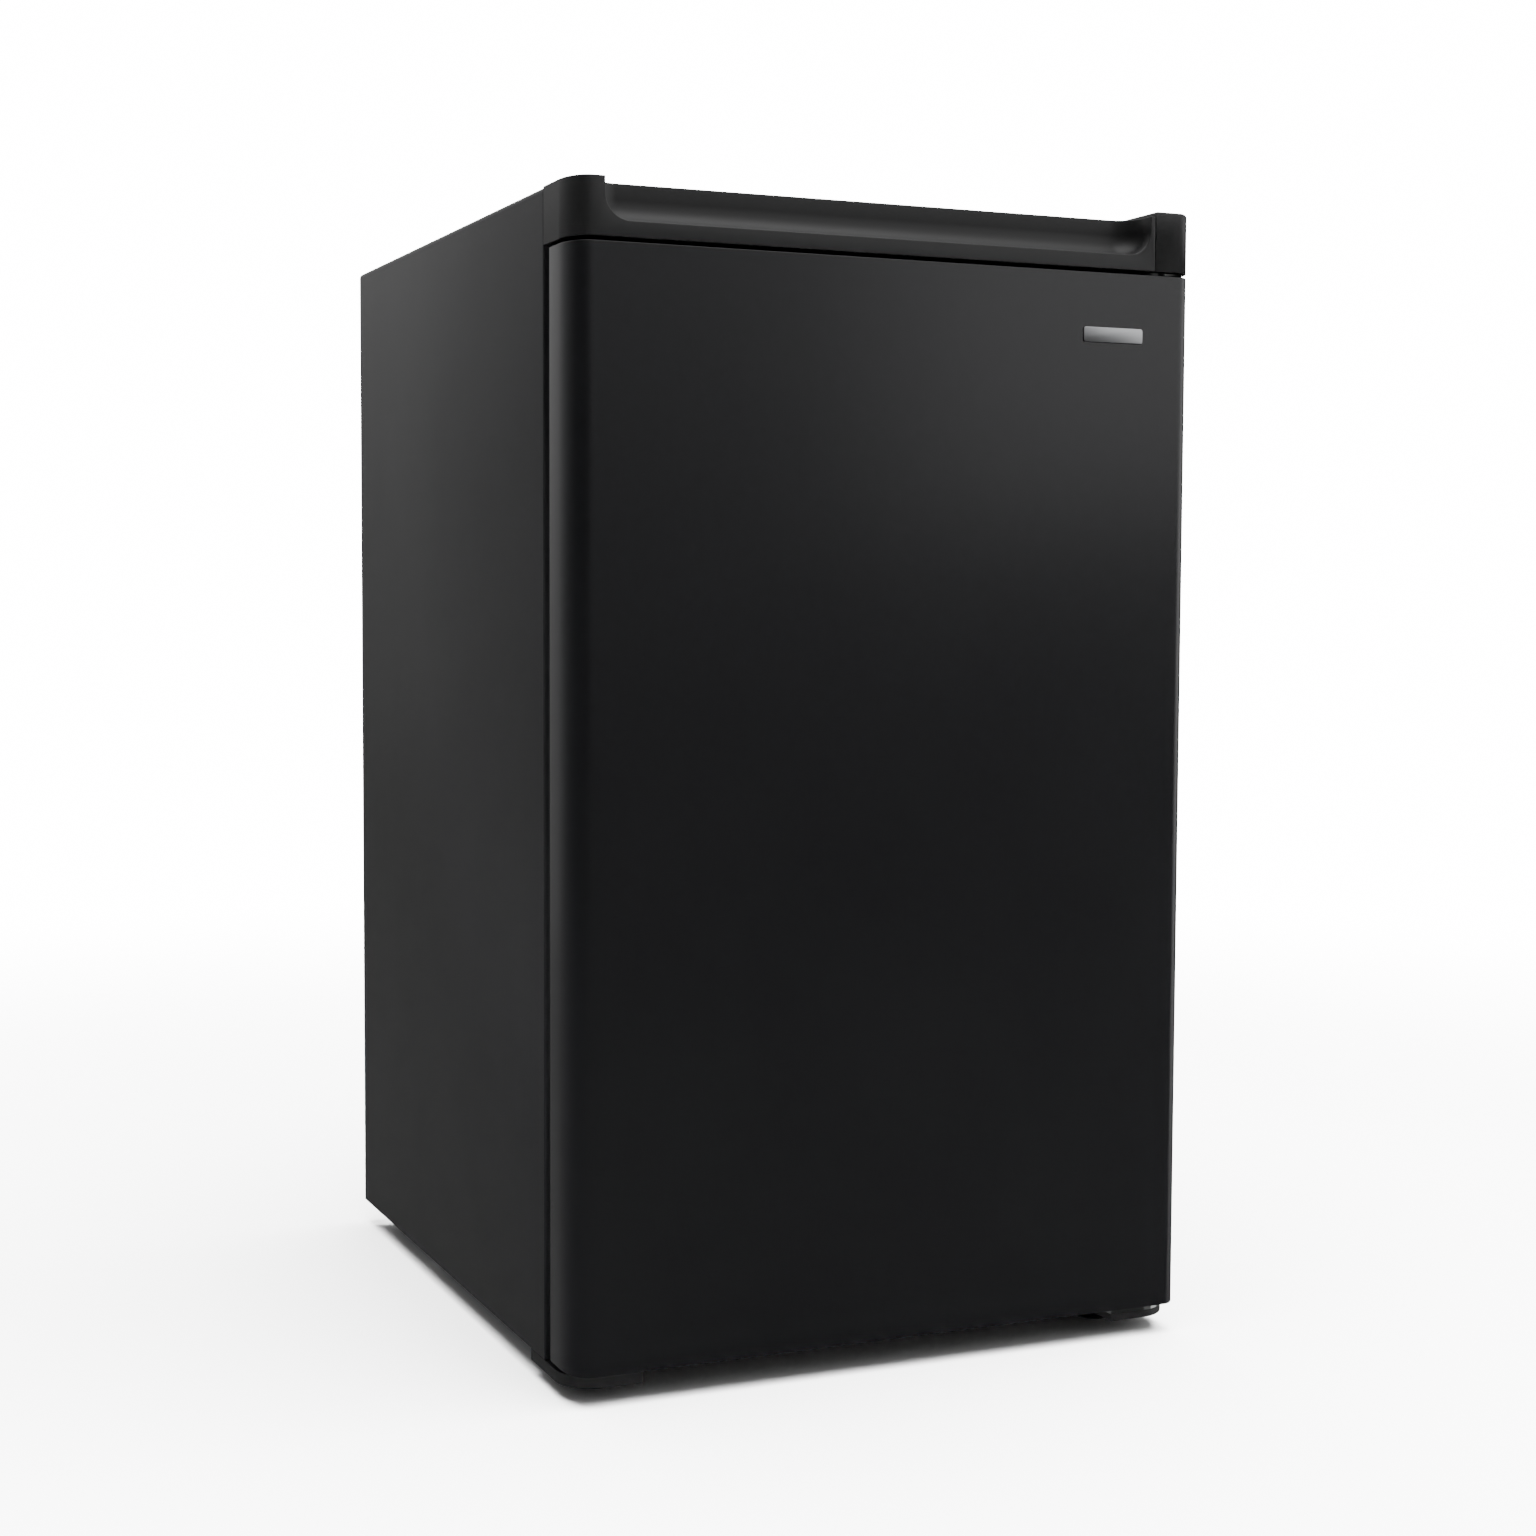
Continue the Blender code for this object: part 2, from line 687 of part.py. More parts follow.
def scoop():
    """The hollow along the front of the fascia: its back, its floor and its ends meet in rounded corners."""
    beyond = 3 * SCOOP_RADIUS
    return block(
        (-HALF + EAR_LEFT, DOOR_FRONT_Y - beyond, FASCIA_Z + LIP_HEIGHT),
        (COVER_SPLIT - SCOOP_END_WALL, DOOR_FRONT_Y + SCOOP_DEPTH, HEIGHT + beyond),
        SCOOP_RADIUS,
        5,
    )


def top_fascia():
    """The moulding along the top front, which reaches out over the door."""
    back = FRONT_Y - FIT
    fascia = piece("top_fascia", slab(front_plan(back), "Z", FASCIA_Z, HEIGHT), "black_plastic")
    seam = block((COVER_SPLIT - FIT, -BEYOND, 0), (BEYOND, BEYOND, BEYOND))
    rear = block(
        (-HALF + FASCIA_WALL, DOOR_FRONT_Y + SCOOP_DEPTH + FASCIA_WALL, 0),
        (COVER_SPLIT - FIT - FASCIA_WALL, back - FASCIA_WALL, HEIGHT - FASCIA_WALL),
    )
    carve(fascia, scoop(), seam, rear)


def hinge_cover():
    """The cap over the upper hinge, at the right end of the fascia."""
    back = FRONT_Y - FIT
    top = HEIGHT + HINGE_COVER_RISE
    cover = piece("hinge_cover", slab(front_plan(back), "Z", FASCIA_Z, top), "black_plastic")
    carve(cover, block((-BEYOND, -BEYOND, 0), (COVER_SPLIT + FIT, BEYOND, BEYOND)))
    hollow = helper(slab(front_plan(back + FASCIA_WALL, FASCIA_WALL), "Z", 0, top - FASCIA_WALL))
    side = COVER_SPLIT + FIT + FASCIA_WALL
    carve(hollow, block((-BEYOND, -BEYOND, -BEYOND), (side, BEYOND, BEYOND)))
    modifier = cover.modifiers.new("hollow", "BOOLEAN")
    modifier.operation = "DIFFERENCE"
    modifier.object = hollow


def top_hinge():
    """An angle of steel on the front of the cabinet, with the pin that goes down into the door."""
    left = COVER_SPLIT + FIT + FASCIA_WALL + PLATE_SIDE_GAP
    right = HALF - FASCIA_WALL - PLATE_SIDE_GAP
    low = FASCIA_Z + PLATE_LIFT
    high = HEIGHT - PLATE_DROP
    back = FRONT_Y - 2 * FIT
    nose = PIN_Y - PLATE_NOSE
    outline = [
        (back, low),
        (back, high),
        (back - PLATE, high),
        (back - PLATE, low + PLATE),
        (nose, low + PLATE),
        (nose, low),
    ]
    plate = piece("top_hinge_plate", slab(outline, "X", left, right), "zinc_steel")
    hole = PIN_RADIUS + FIT
    carve(plate, rod((PIN_X, PIN_Y, low - PLATE), (PIN_X, PIN_Y, low + 2 * PLATE), hole))
    head = low + PLATE + FIT
    profile = [
        (0, PIN_HEAD_HEIGHT),
        (PIN_HEAD_RADIUS, PIN_HEAD_HEIGHT),
        (PIN_HEAD_RADIUS, 0),
        (PIN_RADIUS, 0),
        (PIN_RADIUS, DOOR_TOP - PIN_REACH - head),
        (0, DOOR_TOP - PIN_REACH - head),
    ]
    turned("top_hinge_pin", profile, (PIN_X, PIN_Y, head), "zinc_steel")


def shoe_plan(sign, front):
    """The plan of a corner shoe: a rectangle whose outer front corner follows the door's."""
    inner = HALF - SHOE_LENGTH
    back = FRONT_Y + SHOE_BACK
    plan = [(inner, back), (inner, front)]
    steps = 6
    for i in range(steps + 1):
        angle = 1.5 * math.pi + i / steps * math.pi / 2
        x = HALF - CORNER_DEPTH + CORNER_DEPTH * math.cos(angle)
        plan.append((x, front + CORNER_DEPTH + CORNER_DEPTH * math.sin(angle)))
    plan.append((HALF, back))
    return [(sign * x, y) for x, y in plan]


def corner_shoes():
    """The shoes under the front corners, which hold the feet; the right one carries the hinge plate."""
    front = DOOR_FRONT_Y + SHOE_FRONT
    for name, sign, top in (("left", -1, SHOE_TOP), ("right", 1, SHOE_TOP - PLATE - FIT)):
        plan = shoe_plan(sign, front)
        shoe = piece(f"corner_shoe_{name}", slab(plan, "Z", SHOE_BOTTOM, top), "black_plastic")
        hole = STEM_RADIUS + RUNNING_FIT
        x = sign * FOOT_X
        cuts = [rod((x, FRONT_FOOT_Y, 0), (x, FRONT_FOOT_Y, FLOOR_CLEARANCE), hole)]
        if sign > 0:
            cuts.append(rod((PIN_X, PIN_Y, 0), (PIN_X, PIN_Y, FLOOR_CLEARANCE), PIN_HEAD_RADIUS + FIT))
        carve(shoe, *cuts)


def bottom_hinge():
    """The steel plate under the door's right corner, with the pin that stands up into the door."""
    front = DOOR_FRONT_Y + SHOE_FRONT
    low = SHOE_TOP - PLATE
    plan = shoe_plan(1, front)
    plate = piece("bottom_hinge_plate", slab(plan, "Z", low, SHOE_TOP), "zinc_steel")
    top = SHOE_TOP + PLATE
    carve(
        plate,
        rod((PIN_X, PIN_Y, 0), (PIN_X, PIN_Y, top), PIN_RADIUS + FIT),
        rod((FOOT_X, FRONT_FOOT_Y, 0), (FOOT_X, FRONT_FOOT_Y, top), STEM_RADIUS + RUNNING_FIT),
    )
    tip = DOOR_BOTTOM + PIN_REACH
    foot = low - FIT - PIN_HEAD_HEIGHT
    profile = [
        (0, tip),
        (PIN_RADIUS, tip),
        (PIN_RADIUS, foot + PIN_HEAD_HEIGHT),
        (PIN_HEAD_RADIUS, foot + PIN_HEAD_HEIGHT),
        (PIN_HEAD_RADIUS, foot),
        (0, foot),
    ]
    turned("bottom_hinge_pin", profile, (PIN_X, PIN_Y, 0), "zinc_steel")


def front_feet():
    """Two levelling feet, each a broad pad on a stem that screws into its shoe."""
    tip = FLOOR_CLEARANCE - 2 * FIT
    profile = [
        (0, tip),
        (STEM_RADIUS, tip),
        (STEM_RADIUS, FOOT_HEIGHT),
        (FOOT_RADIUS - FOOT_CHAMFER, FOOT_HEIGHT),
        (FOOT_RADIUS, FOOT_HEIGHT - FOOT_CHAMFER),
        (FOOT_RADIUS, FOOT_EDGE),
        (FOOT_RADIUS - FOOT_EDGE, 0),
        (0, 0),
    ]
    for name, sign in (("left", -1), ("right", 1)):
        axis = pivot(f"front_foot_{name}_axis", (sign * FOOT_X, FRONT_FOOT_Y, 0))
        turned(f"front_foot_{name}", profile, axis.location, "black_plastic", axis)


def rear_feet():
    """Two fixed feet under the compressor's cross plate, wider at the floor."""
    top = FLOOR_CLEARANCE - FIT
    taper = 2 * FOOT_CHAMFER
    profile = [
        (0, top),
        (FOOT_RADIUS - taper, top),
        (FOOT_RADIUS, taper),
        (FOOT_RADIUS, FOOT_EDGE),
        (FOOT_RADIUS - FOOT_EDGE, 0),
        (0, 0),
    ]
    for name, sign in (("left", -1), ("right", 1)):
        turned(f"rear_foot_{name}", profile, (sign * FOOT_X, REAR_FOOT_Y, 0), "black_plastic")


# Compressor compartment


def compressor_plate():
    """The cross plate that carries the compressor, with a flange turned up along the back."""
    front = CROSS_BACK - CROSS_DEPTH
    low = FLOOR_CLEARANCE
    outline = [
        (front, low),
        (CROSS_BACK, low),
        (CROSS_BACK, low + CROSS_FLANGE),
        (CROSS_BACK - CROSS_THICKNESS, low + CROSS_FLANGE),
        (CROSS_BACK - CROSS_THICKNESS, DECK),
        (front, DECK),
    ]
    plate = piece("compressor_plate", slab(outline, "X", -INSIDE_HALF, INSIDE_HALF), "zinc_steel")
    x, z = INLET
    start = CROSS_BACK - 2 * CROSS_THICKNESS
    carve(plate, rod((x, start, z), (x, CROSS_BACK + CROSS_THICKNESS, z), INLET_RADIUS + FIT))


def cord_inlet():
    """The flanged rubber bush in the plate's flange that the mains lead passes through."""
    x, z = INLET
    half = CROSS_THICKNESS / 2
    flange = INLET_RADIUS + INLET_FLANGE
    end = half + INLET_CONE
    shoulder = end - INLET_FLANGE
    profile = [
        (INLET_RADIUS, -shoulder),
        (CORD_RADIUS, -end),
        (CORD_RADIUS, end),
        (flange, shoulder),
        (flange, half + FIT),
        (INLET_RADIUS, half + FIT),
    ]
    middle = (x, CROSS_BACK - half, z)
    turned("cord_inlet", profile, middle, "rubber", closed=True, tilt=(math.pi / 2, 0, 0))


def compressor():
    """The sealed steel pot with the weld round its middle, on its feet plate."""
    x = COMPRESSOR_SHIFT
    y = COMPRESSOR_Y
    half = [s / 2 for s in COMPRESSOR_SIZE]
    low = (x - half[0], y - half[1], BELLY - FEET_THICKNESS / 5)
    high = (x + half[0], y + half[1], BELLY + COMPRESSOR_SIZE[2])
    pot = piece("compressor", block(low, high, COMPRESSOR_RADIUS, 5), "black_enamel")
    seam = BELLY + WELD_RISE
    band = block(
        (low[0] - WELD, low[1] - WELD, seam - WELD),
        (high[0] + WELD, high[1] + WELD, seam + WELD),
        COMPRESSOR_RADIUS + WELD,
        5,
        upright,
    )
    feet_low = (x - FEET_SIZE[0] / 2, y - FEET_SIZE[1] / 2, FEET_Z)
    feet_high = (x + FEET_SIZE[0] / 2, y + FEET_SIZE[1] / 2, BELLY)
    extend(pot, band, block(feet_low, feet_high, FEET_CORNER, 3, upright))


def grommets():
    """The four rubber feet between the compressor and its plate."""
    low = DECK + FIT
    profile = [
        (0, GROMMET_HEIGHT),
        (GROMMET_RADIUS, GROMMET_HEIGHT),
        (GROMMET_RADIUS - GROMMET_WAIST, GROMMET_HEIGHT / 2),
        (GROMMET_RADIUS, 0),
        (0, 0),
    ]
    number = 1
    for sx in (-1, 1):
        for sy in (-1, 1):
            x = COMPRESSOR_SHIFT + sx * (FEET_SIZE[0] / 2 - FEET_CORNER)
            y = COMPRESSOR_Y + sy * (FEET_SIZE[1] / 2 - FEET_CORNER)
            turned(f"grommet_{number}", profile, (x, y, low), "rubber", sides=16)
            number += 1


def terminal_cover():
    """The cover over the compressor's terminals and starting relay."""
    left = COMPRESSOR_SHIFT + COMPRESSOR_SIZE[0] / 2 + WELD + FIT
    middle = BELLY + COVER_RISE
    low = (left, COMPRESSOR_Y - COVER_SIZE[1] / 2, middle - COVER_SIZE[2] / 2)
    high = (left + COVER_SIZE[0], COMPRESSOR_Y + COVER_SIZE[1] / 2, middle + COVER_SIZE[2] / 2)
    piece("terminal_cover", block(low, high, COVER_RADIUS, 2), "black_plastic")


def condenser_path():
    """The condenser's tube: side to side up the back, then down the right side to the filter drier."""
    pitch = (CONDENSER_HIGH - CONDENSER_LOW) / (CONDENSER_RUNS - 1)
    corners = [(-CONDENSER_HALF, CONDENSER_Y, CONDENSER_END)]
    for run in range(CONDENSER_RUNS):
        z = CONDENSER_LOW + run * pitch
        ends = (-1, 1) if run % 2 == 0 else (1, -1)
        corners += [(side * CONDENSER_HALF, CONDENSER_Y, z) for side in ends]
    down = HALF - DOWN_LEG_SIDE
    last = corners[-1]
    if last[0] > 0:
        corners[-1] = (down, CONDENSER_Y, last[2])
    else:
        above = last[2] + pitch
        corners += [(last[0], CONDENSER_Y, above), (down, CONDENSER_Y, above)]
    corners += [(down, CONDENSER_Y, CONDENSER_END)]
    return corners


def condenser():
    """The tube on the back and the two straps that hold it."""
    wire("condenser_tube", bent(condenser_path(), CONDENSER_BEND, 4), TUBE_RADIUS, "black_enamel")
    near = PANEL_Y + FIT
    far = CONDENSER_Y + TUBE_RADIUS + FIT
    low = CONDENSER_LOW - STRAP_OVERLAP
    high = CONDENSER_HIGH + STRAP_OVERLAP
    outline = [
        (near, low),
        (far + STRAP_SHEET, low),
        (far + STRAP_SHEET, high),
        (near, high),
        (near, high - STRAP_SHEET),
        (far, high - STRAP_SHEET),
        (far, low + STRAP_SHEET),
        (near, low + STRAP_SHEET),
    ]
    for name, sign in (("left", -1), ("right", 1)):
        x = sign * (HALF - STRAP_SIDE)
        shape = slab(outline, "X", x - STRAP_WIDTH / 2, x + STRAP_WIDTH / 2)
        piece(f"condenser_strap_{name}", shape, "black_enamel")


def filter_drier():
    """The copper cartridge between the condenser and the capillary."""
    neck = TUBE_RADIUS + FIT
    half = DRIER_LENGTH / 2
    profile = [
        (0, half),
        (neck, half),
        (neck, half - DRIER_NECK),
        (DRIER_RADIUS, half - DRIER_SHOULDER),
        (DRIER_RADIUS, -half + DRIER_SHOULDER),
        (neck, -half + DRIER_NECK),
        (neck, -half),
        (0, -half),
    ]
    turned("filter_drier", profile, (*DRIER, NICHE_TOP - DRIER_DROP), "copper", sides=20)


def pipes():
    """The compressor's two copper pipes: out to the condenser, and back from the evaporator."""
    top = BELLY + COMPRESSOR_SIZE[2] + FIT
    x, y = DISCHARGE
    end = (-CONDENSER_HALF, CONDENSER_Y, CONDENSER_END - FIT)
    over = top + PIPE_RISE
    corners = [(x, y, top), (x, y, over), (end[0], end[1], over), end]
    wire("discharge_pipe", bent(corners, PIPE_BEND), TUBE_RADIUS, "copper")
    x, y = SUCTION
    over = top + SUCTION_RISE
    far = x + SUCTION_RUN
    corners = [(x, y, top), (x, y, over), (far, y, over), (far, y, NICHE_TOP - FIT)]
    wire("suction_pipe", bent(corners, PIPE_BEND), SUCTION_RADIUS, "copper")


# Inside the cabinet


def evaporator():
    """The ice box: a folded aluminium evaporator, open at the front, hung from the roof of the liner."""
    low = (-ICE_HALF, ICE_FRONT, ICE_BOTTOM)
    high = (ICE_HALF, ROOM_BACK - ICE_BOX_BACK_GAP, ICE_TOP)
    box = piece("evaporator", block(low, high, ICE_BOX_RADIUS, 3, along_y), "aluminium")
    wall = ICE_BOX_SHEET
    inner_low = (low[0] + wall, low[1] - wall, low[2] + wall)
    inner_high = (high[0] - wall, high[1] - wall, high[2] - wall)
    carve(box, block(inner_low, inner_high, ICE_BOX_RADIUS - wall, 3, along_y))


def evaporator_hanger():
    """The plastic pad between the ice box and the roof of the liner."""
    low = (-HANGER_WIDTH / 2, ICE_FRONT + HANGER_MARGIN, ICE_TOP + FIT)
    high = (HANGER_WIDTH / 2, ROOM_BACK - ICE_BOX_BACK_GAP - HANGER_MARGIN, ROOM_TOP - FIT)
    piece("evaporator_hanger", block(low, high, FRAME_RADIUS, 2, upright), "white_liner")


def freezer_frame():
    """The plastic frame round the mouth of the ice box, with a socket each side for the flap's pins."""
    low = (-ICE_HALF - FRAME_OVERLAP, FRAME_FRONT, ICE_BOTTOM - FRAME_OVERLAP)
    high = (ICE_HALF + FRAME_OVERLAP, FRAME_FRONT + FRAME_DEPTH, ICE_TOP + FRAME_OVERLAP)
    frame = piece("freezer_frame", block(low, high, FRAME_RADIUS, 2, along_y), "white_liner")
    window = block((-WINDOW_HALF, -1, WINDOW_BOTTOM), (WINDOW_HALF, 1, WINDOW_TOP))
    reach = WINDOW_HALF + SOCKET_DEPTH
    sockets = rod(
        (-reach, FLAP_AXIS_Y, FLAP_AXIS_Z), (reach, FLAP_AXIS_Y, FLAP_AXIS_Z), FLAP_PIN_RADIUS + RUNNING_FIT
    )
    carve(frame, window, sockets)


def freezer_flap():
    """The ice box's door, which hangs from its top edge."""
    axis = pivot("freezer_flap_axis", (0, FLAP_AXIS_Y, FLAP_AXIS_Z))
    half = WINDOW_HALF - FLAP_GAP
    low = (-half, FLAP_AXIS_Y - FLAP_THICKNESS / 2, WINDOW_BOTTOM + FLAP_GAP)
    high = (half, FLAP_AXIS_Y + FLAP_THICKNESS / 2, FLAP_AXIS_Z + FLAP_THICKNESS / 2)
    flap = piece("freezer_flap", block(low, high, FLAP_RADIUS, 2, along_x), "clear_plastic", axis)
    reach = WINDOW_HALF + SOCKET_DEPTH - FLAP_THICKNESS / 6
    pins = rod((-reach, FLAP_AXIS_Y, FLAP_AXIS_Z), (reach, FLAP_AXIS_Y, FLAP_AXIS_Z), FLAP_PIN_RADIUS)
    extend(flap, pins, grip(FLAP_GRIP, low[1], low[2] + FLAP_GRIP[1]))


def grip(size, front, top):
    """A finger grip on a piece's front face: its width, its reach and its thickness."""
    width, reach, thickness = size
    low = (-width / 2, front - reach, top - thickness)
    return block(low, (width / 2, front + FIT * 4, top), thickness / 3, 2)


def drip_tray():
    """The tray under the ice box, which slides on two ledges of the liner."""
    axis = pivot("drip_tray_slide", (0, ICE_FRONT, TRAY_LEVEL))
    half = ROOM_HALF - SHELF_SIDE_GAP
    low = (-half, ICE_FRONT, TRAY_LEVEL + FIT)
    high = (half, ROOM_BACK - TRAY_BACK_GAP, TRAY_LEVEL + TRAY_HEIGHT)
    tray = open_box("drip_tray", low, high, TRAY_WALL, "clear_plastic", axis, 2 * TRAY_WALL)
    extend(tray, grip(TRAY_GRIP, ICE_FRONT, high[2] - GRIP_DROP))


def shelves():
    """The glass shelves with the plastic trim along their front edges."""
    names = (("lower", LOWER_LEVEL), ("upper", UPPER_LEVEL), ("crisper", COVER_LEVEL))
    half = ROOM_HALF - SHELF_SIDE_GAP
    front = FRONT_Y + SHELF_FRONT
    for name, level in names:
        low = level + FIT
        glass_low = (-half, front + TRIM_DEPTH + FIT, low)
        glass_high = (half, ROOM_BACK - SHELF_BACK_GAP, low + GLASS)
        piece(f"shelf_glass_{name}", block(glass_low, glass_high), "glass")
        trim_high = (half, front + TRIM_DEPTH, low + TRIM_HEIGHT)
        trim = block((-half, front, low), trim_high, TRIM_RADIUS, 2, along_x)
        piece(f"shelf_trim_{name}", trim, "white_liner")


def crisper_drawer():
    """The drawer at the bottom, under its glass cover."""
    half = ROOM_HALF - DRAWER_SIDE_GAP
    front = FRONT_Y + DRAWER_FRONT
    axis = pivot("crisper_slide", (0, front, ROOM_FLOOR))
    low = (-half, front, ROOM_FLOOR + FIT)
    high = (half, STEP_FRONT - DRAWER_BACK_GAP, COVER_LEVEL - LEDGE_THICKNESS - DRAWER_TOP_GAP)
    drawer = open_box("crisper_drawer", low, high, DRAWER_WALL, "clear_plastic", axis, DRAWER_RADIUS)
    extend(drawer, grip(DRAWER_GRIP, front, high[2] - GRIP_DROP))


def housing_box():
    """The low and high corners of the thermostat's housing, on the right wall."""
    right = ROOM_HALF - FIT
    low = (right - HOUSING_DEPTH, -HOUSING_LENGTH / 2, HOUSING_Z - HOUSING_HEIGHT / 2)
    high = (right, HOUSING_LENGTH / 2, HOUSING_Z + HOUSING_HEIGHT / 2)
    return low, high


def thermostat():
    """The thermostat's housing and the knob on its face."""
    low, high = housing_box()
    housing = piece("thermostat_housing", block(low, high, HOUSING_RADIUS, 3), "white_liner")
    face = low[0]
    start = (face - KNOB_HOLE_DEPTH, 0, HOUSING_Z)
    carve(housing, rod(start, (face + KNOB_HOLE_DEPTH, 0, HOUSING_Z), KNOB_STEM + RUNNING_FIT))
    axis = pivot("thermostat_axis", (face, 0, HOUSING_Z))
    profile = [
        (0, KNOB_DEPTH),
        (KNOB_TOP_RADIUS, KNOB_DEPTH),
        (KNOB_TOP_RADIUS + KNOB_CHAMFER, KNOB_DEPTH - KNOB_CHAMFER),
        (KNOB_RADIUS, FIT),
        (KNOB_STEM, FIT),
        (KNOB_STEM, -KNOB_STEM_LENGTH),
        (0, -KNOB_STEM_LENGTH),
    ]
    tilt = (0, -math.pi / 2, 0)
    turned("thermostat_knob", profile, axis.location, "white_liner", axis, tilt=tilt)


# Door


def door_panel(door):
    """The door's steel skin: front and sides in one sheet, with a lip turned in along each side."""
    skin = slab(front_plan(DOOR_BACK_Y), "Z", DOOR_BOTTOM, DOOR_TOP)
    panel = piece("door_panel", skin, "black_enamel", door)
    inner = slab(front_plan(DOOR_BACK_Y - SHEET, SHEET), "Z", 0, 1)
    lip = HALF - DOOR_LIP
    carve(panel, inner, block((-lip, DOOR_BACK_Y - 2 * SHEET, 0), (lip, 0, BEYOND)))


def bush_hole(low, high):
    """The round hole for a hinge bush, between two heights."""
    return rod((PIN_X, PIN_Y, low), (PIN_X, PIN_Y, high), BUSH_RADIUS + FIT)


def door_caps(door):
    """The plastic caps that close the top and the bottom of the door."""
    inset = SHEET + FIT
    plan = front_plan(DOOR_BACK_Y - inset, inset)
    for name, low in (("top", DOOR_TOP - CAP_THICKNESS), ("bottom", DOOR_BOTTOM)):
        cap = piece(f"door_cap_{name}", slab(plan, "Z", low, low + CAP_THICKNESS), "black_plastic", door)
        carve(cap, bush_hole(low - CAP_THICKNESS, low + 2 * CAP_THICKNESS))


def door_foam(door):
    """The insulation inside the door, which also fills the liner's raised middle."""
    inset = SHEET + FIT
    low = DOOR_BOTTOM + CAP_THICKNESS + FIT
    high = DOOR_TOP - CAP_THICKNESS - FIT
    foam = piece("door_foam", slab(front_plan(DOOR_BACK_Y - inset, inset), "Z", low, high), "foam", door)
    wall = LINER + FIT
    plug = block(
        (-PLUG_HALF + wall, DOOR_BACK_Y - 2 * LINER, PLUG_LOW + wall),
        (PLUG_HALF - wall, PLUG_Y - wall, PLUG_HIGH - wall),
    )
    extend(foam, plug)
    deep = BUSH_DEPTH + FIT
    carve(foam, bush_hole(0, DOOR_BOTTOM + deep), bush_hole(DOOR_TOP - deep, HEIGHT))


def door_liner(door):
    """The white inside of the door: a flat rim that the gasket sits on, and a raised middle."""
    rim = GASKET_INSET + FIT
    low = (-HALF + rim, FLANGE_Y, DOOR_BOTTOM + rim)
    high = (HALF - rim, FLANGE_Y + LINER, DOOR_TOP - rim)
    liner = piece("door_liner", block(low, high), "white_liner", door)
    raised_low = (-PLUG_HALF, FLANGE_Y + LINER / 2, PLUG_LOW)
    extend(liner, block(raised_low, (PLUG_HALF, PLUG_Y, PLUG_HIGH), PLUG_RADIUS, 2, upright))
    hollow = block(
        (-PLUG_HALF + LINER, FLANGE_Y - LINER, PLUG_LOW + LINER),
        (PLUG_HALF - LINER, PLUG_Y - LINER, PLUG_HIGH - LINER),
    )
    carve(liner, hollow)


def door_gasket(door):
    """The magnetic seal between the door and the cabinet."""
    near = FLANGE_Y + LINER + FIT
    far = FRONT_Y - FIT
    outer = GASKET_INSET
    inner = GASKET_INSET + GASKET_WIDTH
    low = (-HALF + outer, near, DOOR_BOTTOM + outer)
    high = (HALF - outer, far, DOOR_TOP - outer)
    seal = piece("door_gasket", block(low, high, GASKET_RADIUS, 2, along_y), "grey_gasket", door)
    carve(seal, block((-HALF + inner, -1, DOOR_BOTTOM + inner), (HALF - inner, 1, DOOR_TOP - inner)))


def badge_plate(door):
    """A plain plate near the door's upper right corner."""
    high_x = HALF - BADGE_SIDE
    high_z = DOOR_TOP - BADGE_DROP
    low = (high_x - BADGE_SIZE[0], DOOR_FRONT_Y - BADGE_THICKNESS, high_z - BADGE_SIZE[1])
    high = (high_x, DOOR_FRONT_Y - FIT, high_z)
    piece("badge_plate", block(low, high, BADGE_RADIUS, 2, along_y), "silver_print", door)


def hinge_bushes(door):
    """The plastic bushes at the door's right corners; the lower one's flange carries the door."""
    inner = PIN_RADIUS + RUNNING_FIT
    flange = DOOR_BOTTOM - SHOE_TOP - FIT
    lower = [
        (inner, BUSH_DEPTH),
        (BUSH_RADIUS, BUSH_DEPTH),
        (BUSH_RADIUS, -FIT),
        (BUSH_FLANGE_RADIUS, -FIT),
        (BUSH_FLANGE_RADIUS, -flange),
        (inner, -flange),
    ]
    turned("hinge_bush_bottom", lower, (PIN_X, PIN_Y, DOOR_BOTTOM), "clear_plastic", door, closed=True)
    upper = [
        (inner, BUSH_FLANGE),
        (BUSH_FLANGE_RADIUS, BUSH_FLANGE),
        (BUSH_FLANGE_RADIUS, FIT),
        (BUSH_RADIUS, FIT),
        (BUSH_RADIUS, -BUSH_DEPTH),
        (inner, -BUSH_DEPTH),
    ]
    turned("hinge_bush_top", upper, (PIN_X, PIN_Y, DOOR_TOP), "clear_plastic", door, closed=True)


def door_racks(door):
    """The three racks on the door, the two lower ones with a bar that keeps bottles in."""
    half = PLUG_HALF - RACK_SIDE_GAP
    near = PLUG_Y + FIT
    far = PLUG_Y + RACK_DEPTH
    for name, level, height in RACKS:
        low = (-half, near, level)
        high = (half, far, level + height)
        open_box(f"door_rack_{name}", low, high, RACK_WALL, "clear_plastic", door, RACK_RADIUS)
    reach = half - BAR_INSET
    front = far - BAR_INSET
    for name, level, height in RACKS[:2]:
        z = level + height + BAR_RISE
        corners = [(-reach, near, z), (-reach, front, z), (reach, front, z), (reach, near, z)]
        wire(f"door_bar_{name}", bent(corners, BAR_BEND), BAR_RADIUS, "chrome", door)


def build_cabinet():
    outer_shell()
    bottom_rail()
    base_pan()
    back_panel()
    cabinet_foam()
    inner_liner()
    top_fascia()
    hinge_cover()
    top_hinge()
    corner_shoes()
    bottom_hinge()
    front_feet()
    rear_feet()


def build_machine():
    compressor_plate()
    cord_inlet()
    compressor()
    grommets()
    terminal_cover()
    condenser()
    filter_drier()
    pipes()


def build_inside():
    evaporator()
    evaporator_hanger()
    freezer_frame()
    freezer_flap()
    drip_tray()
    shelves()
    crisper_drawer()
    thermostat()


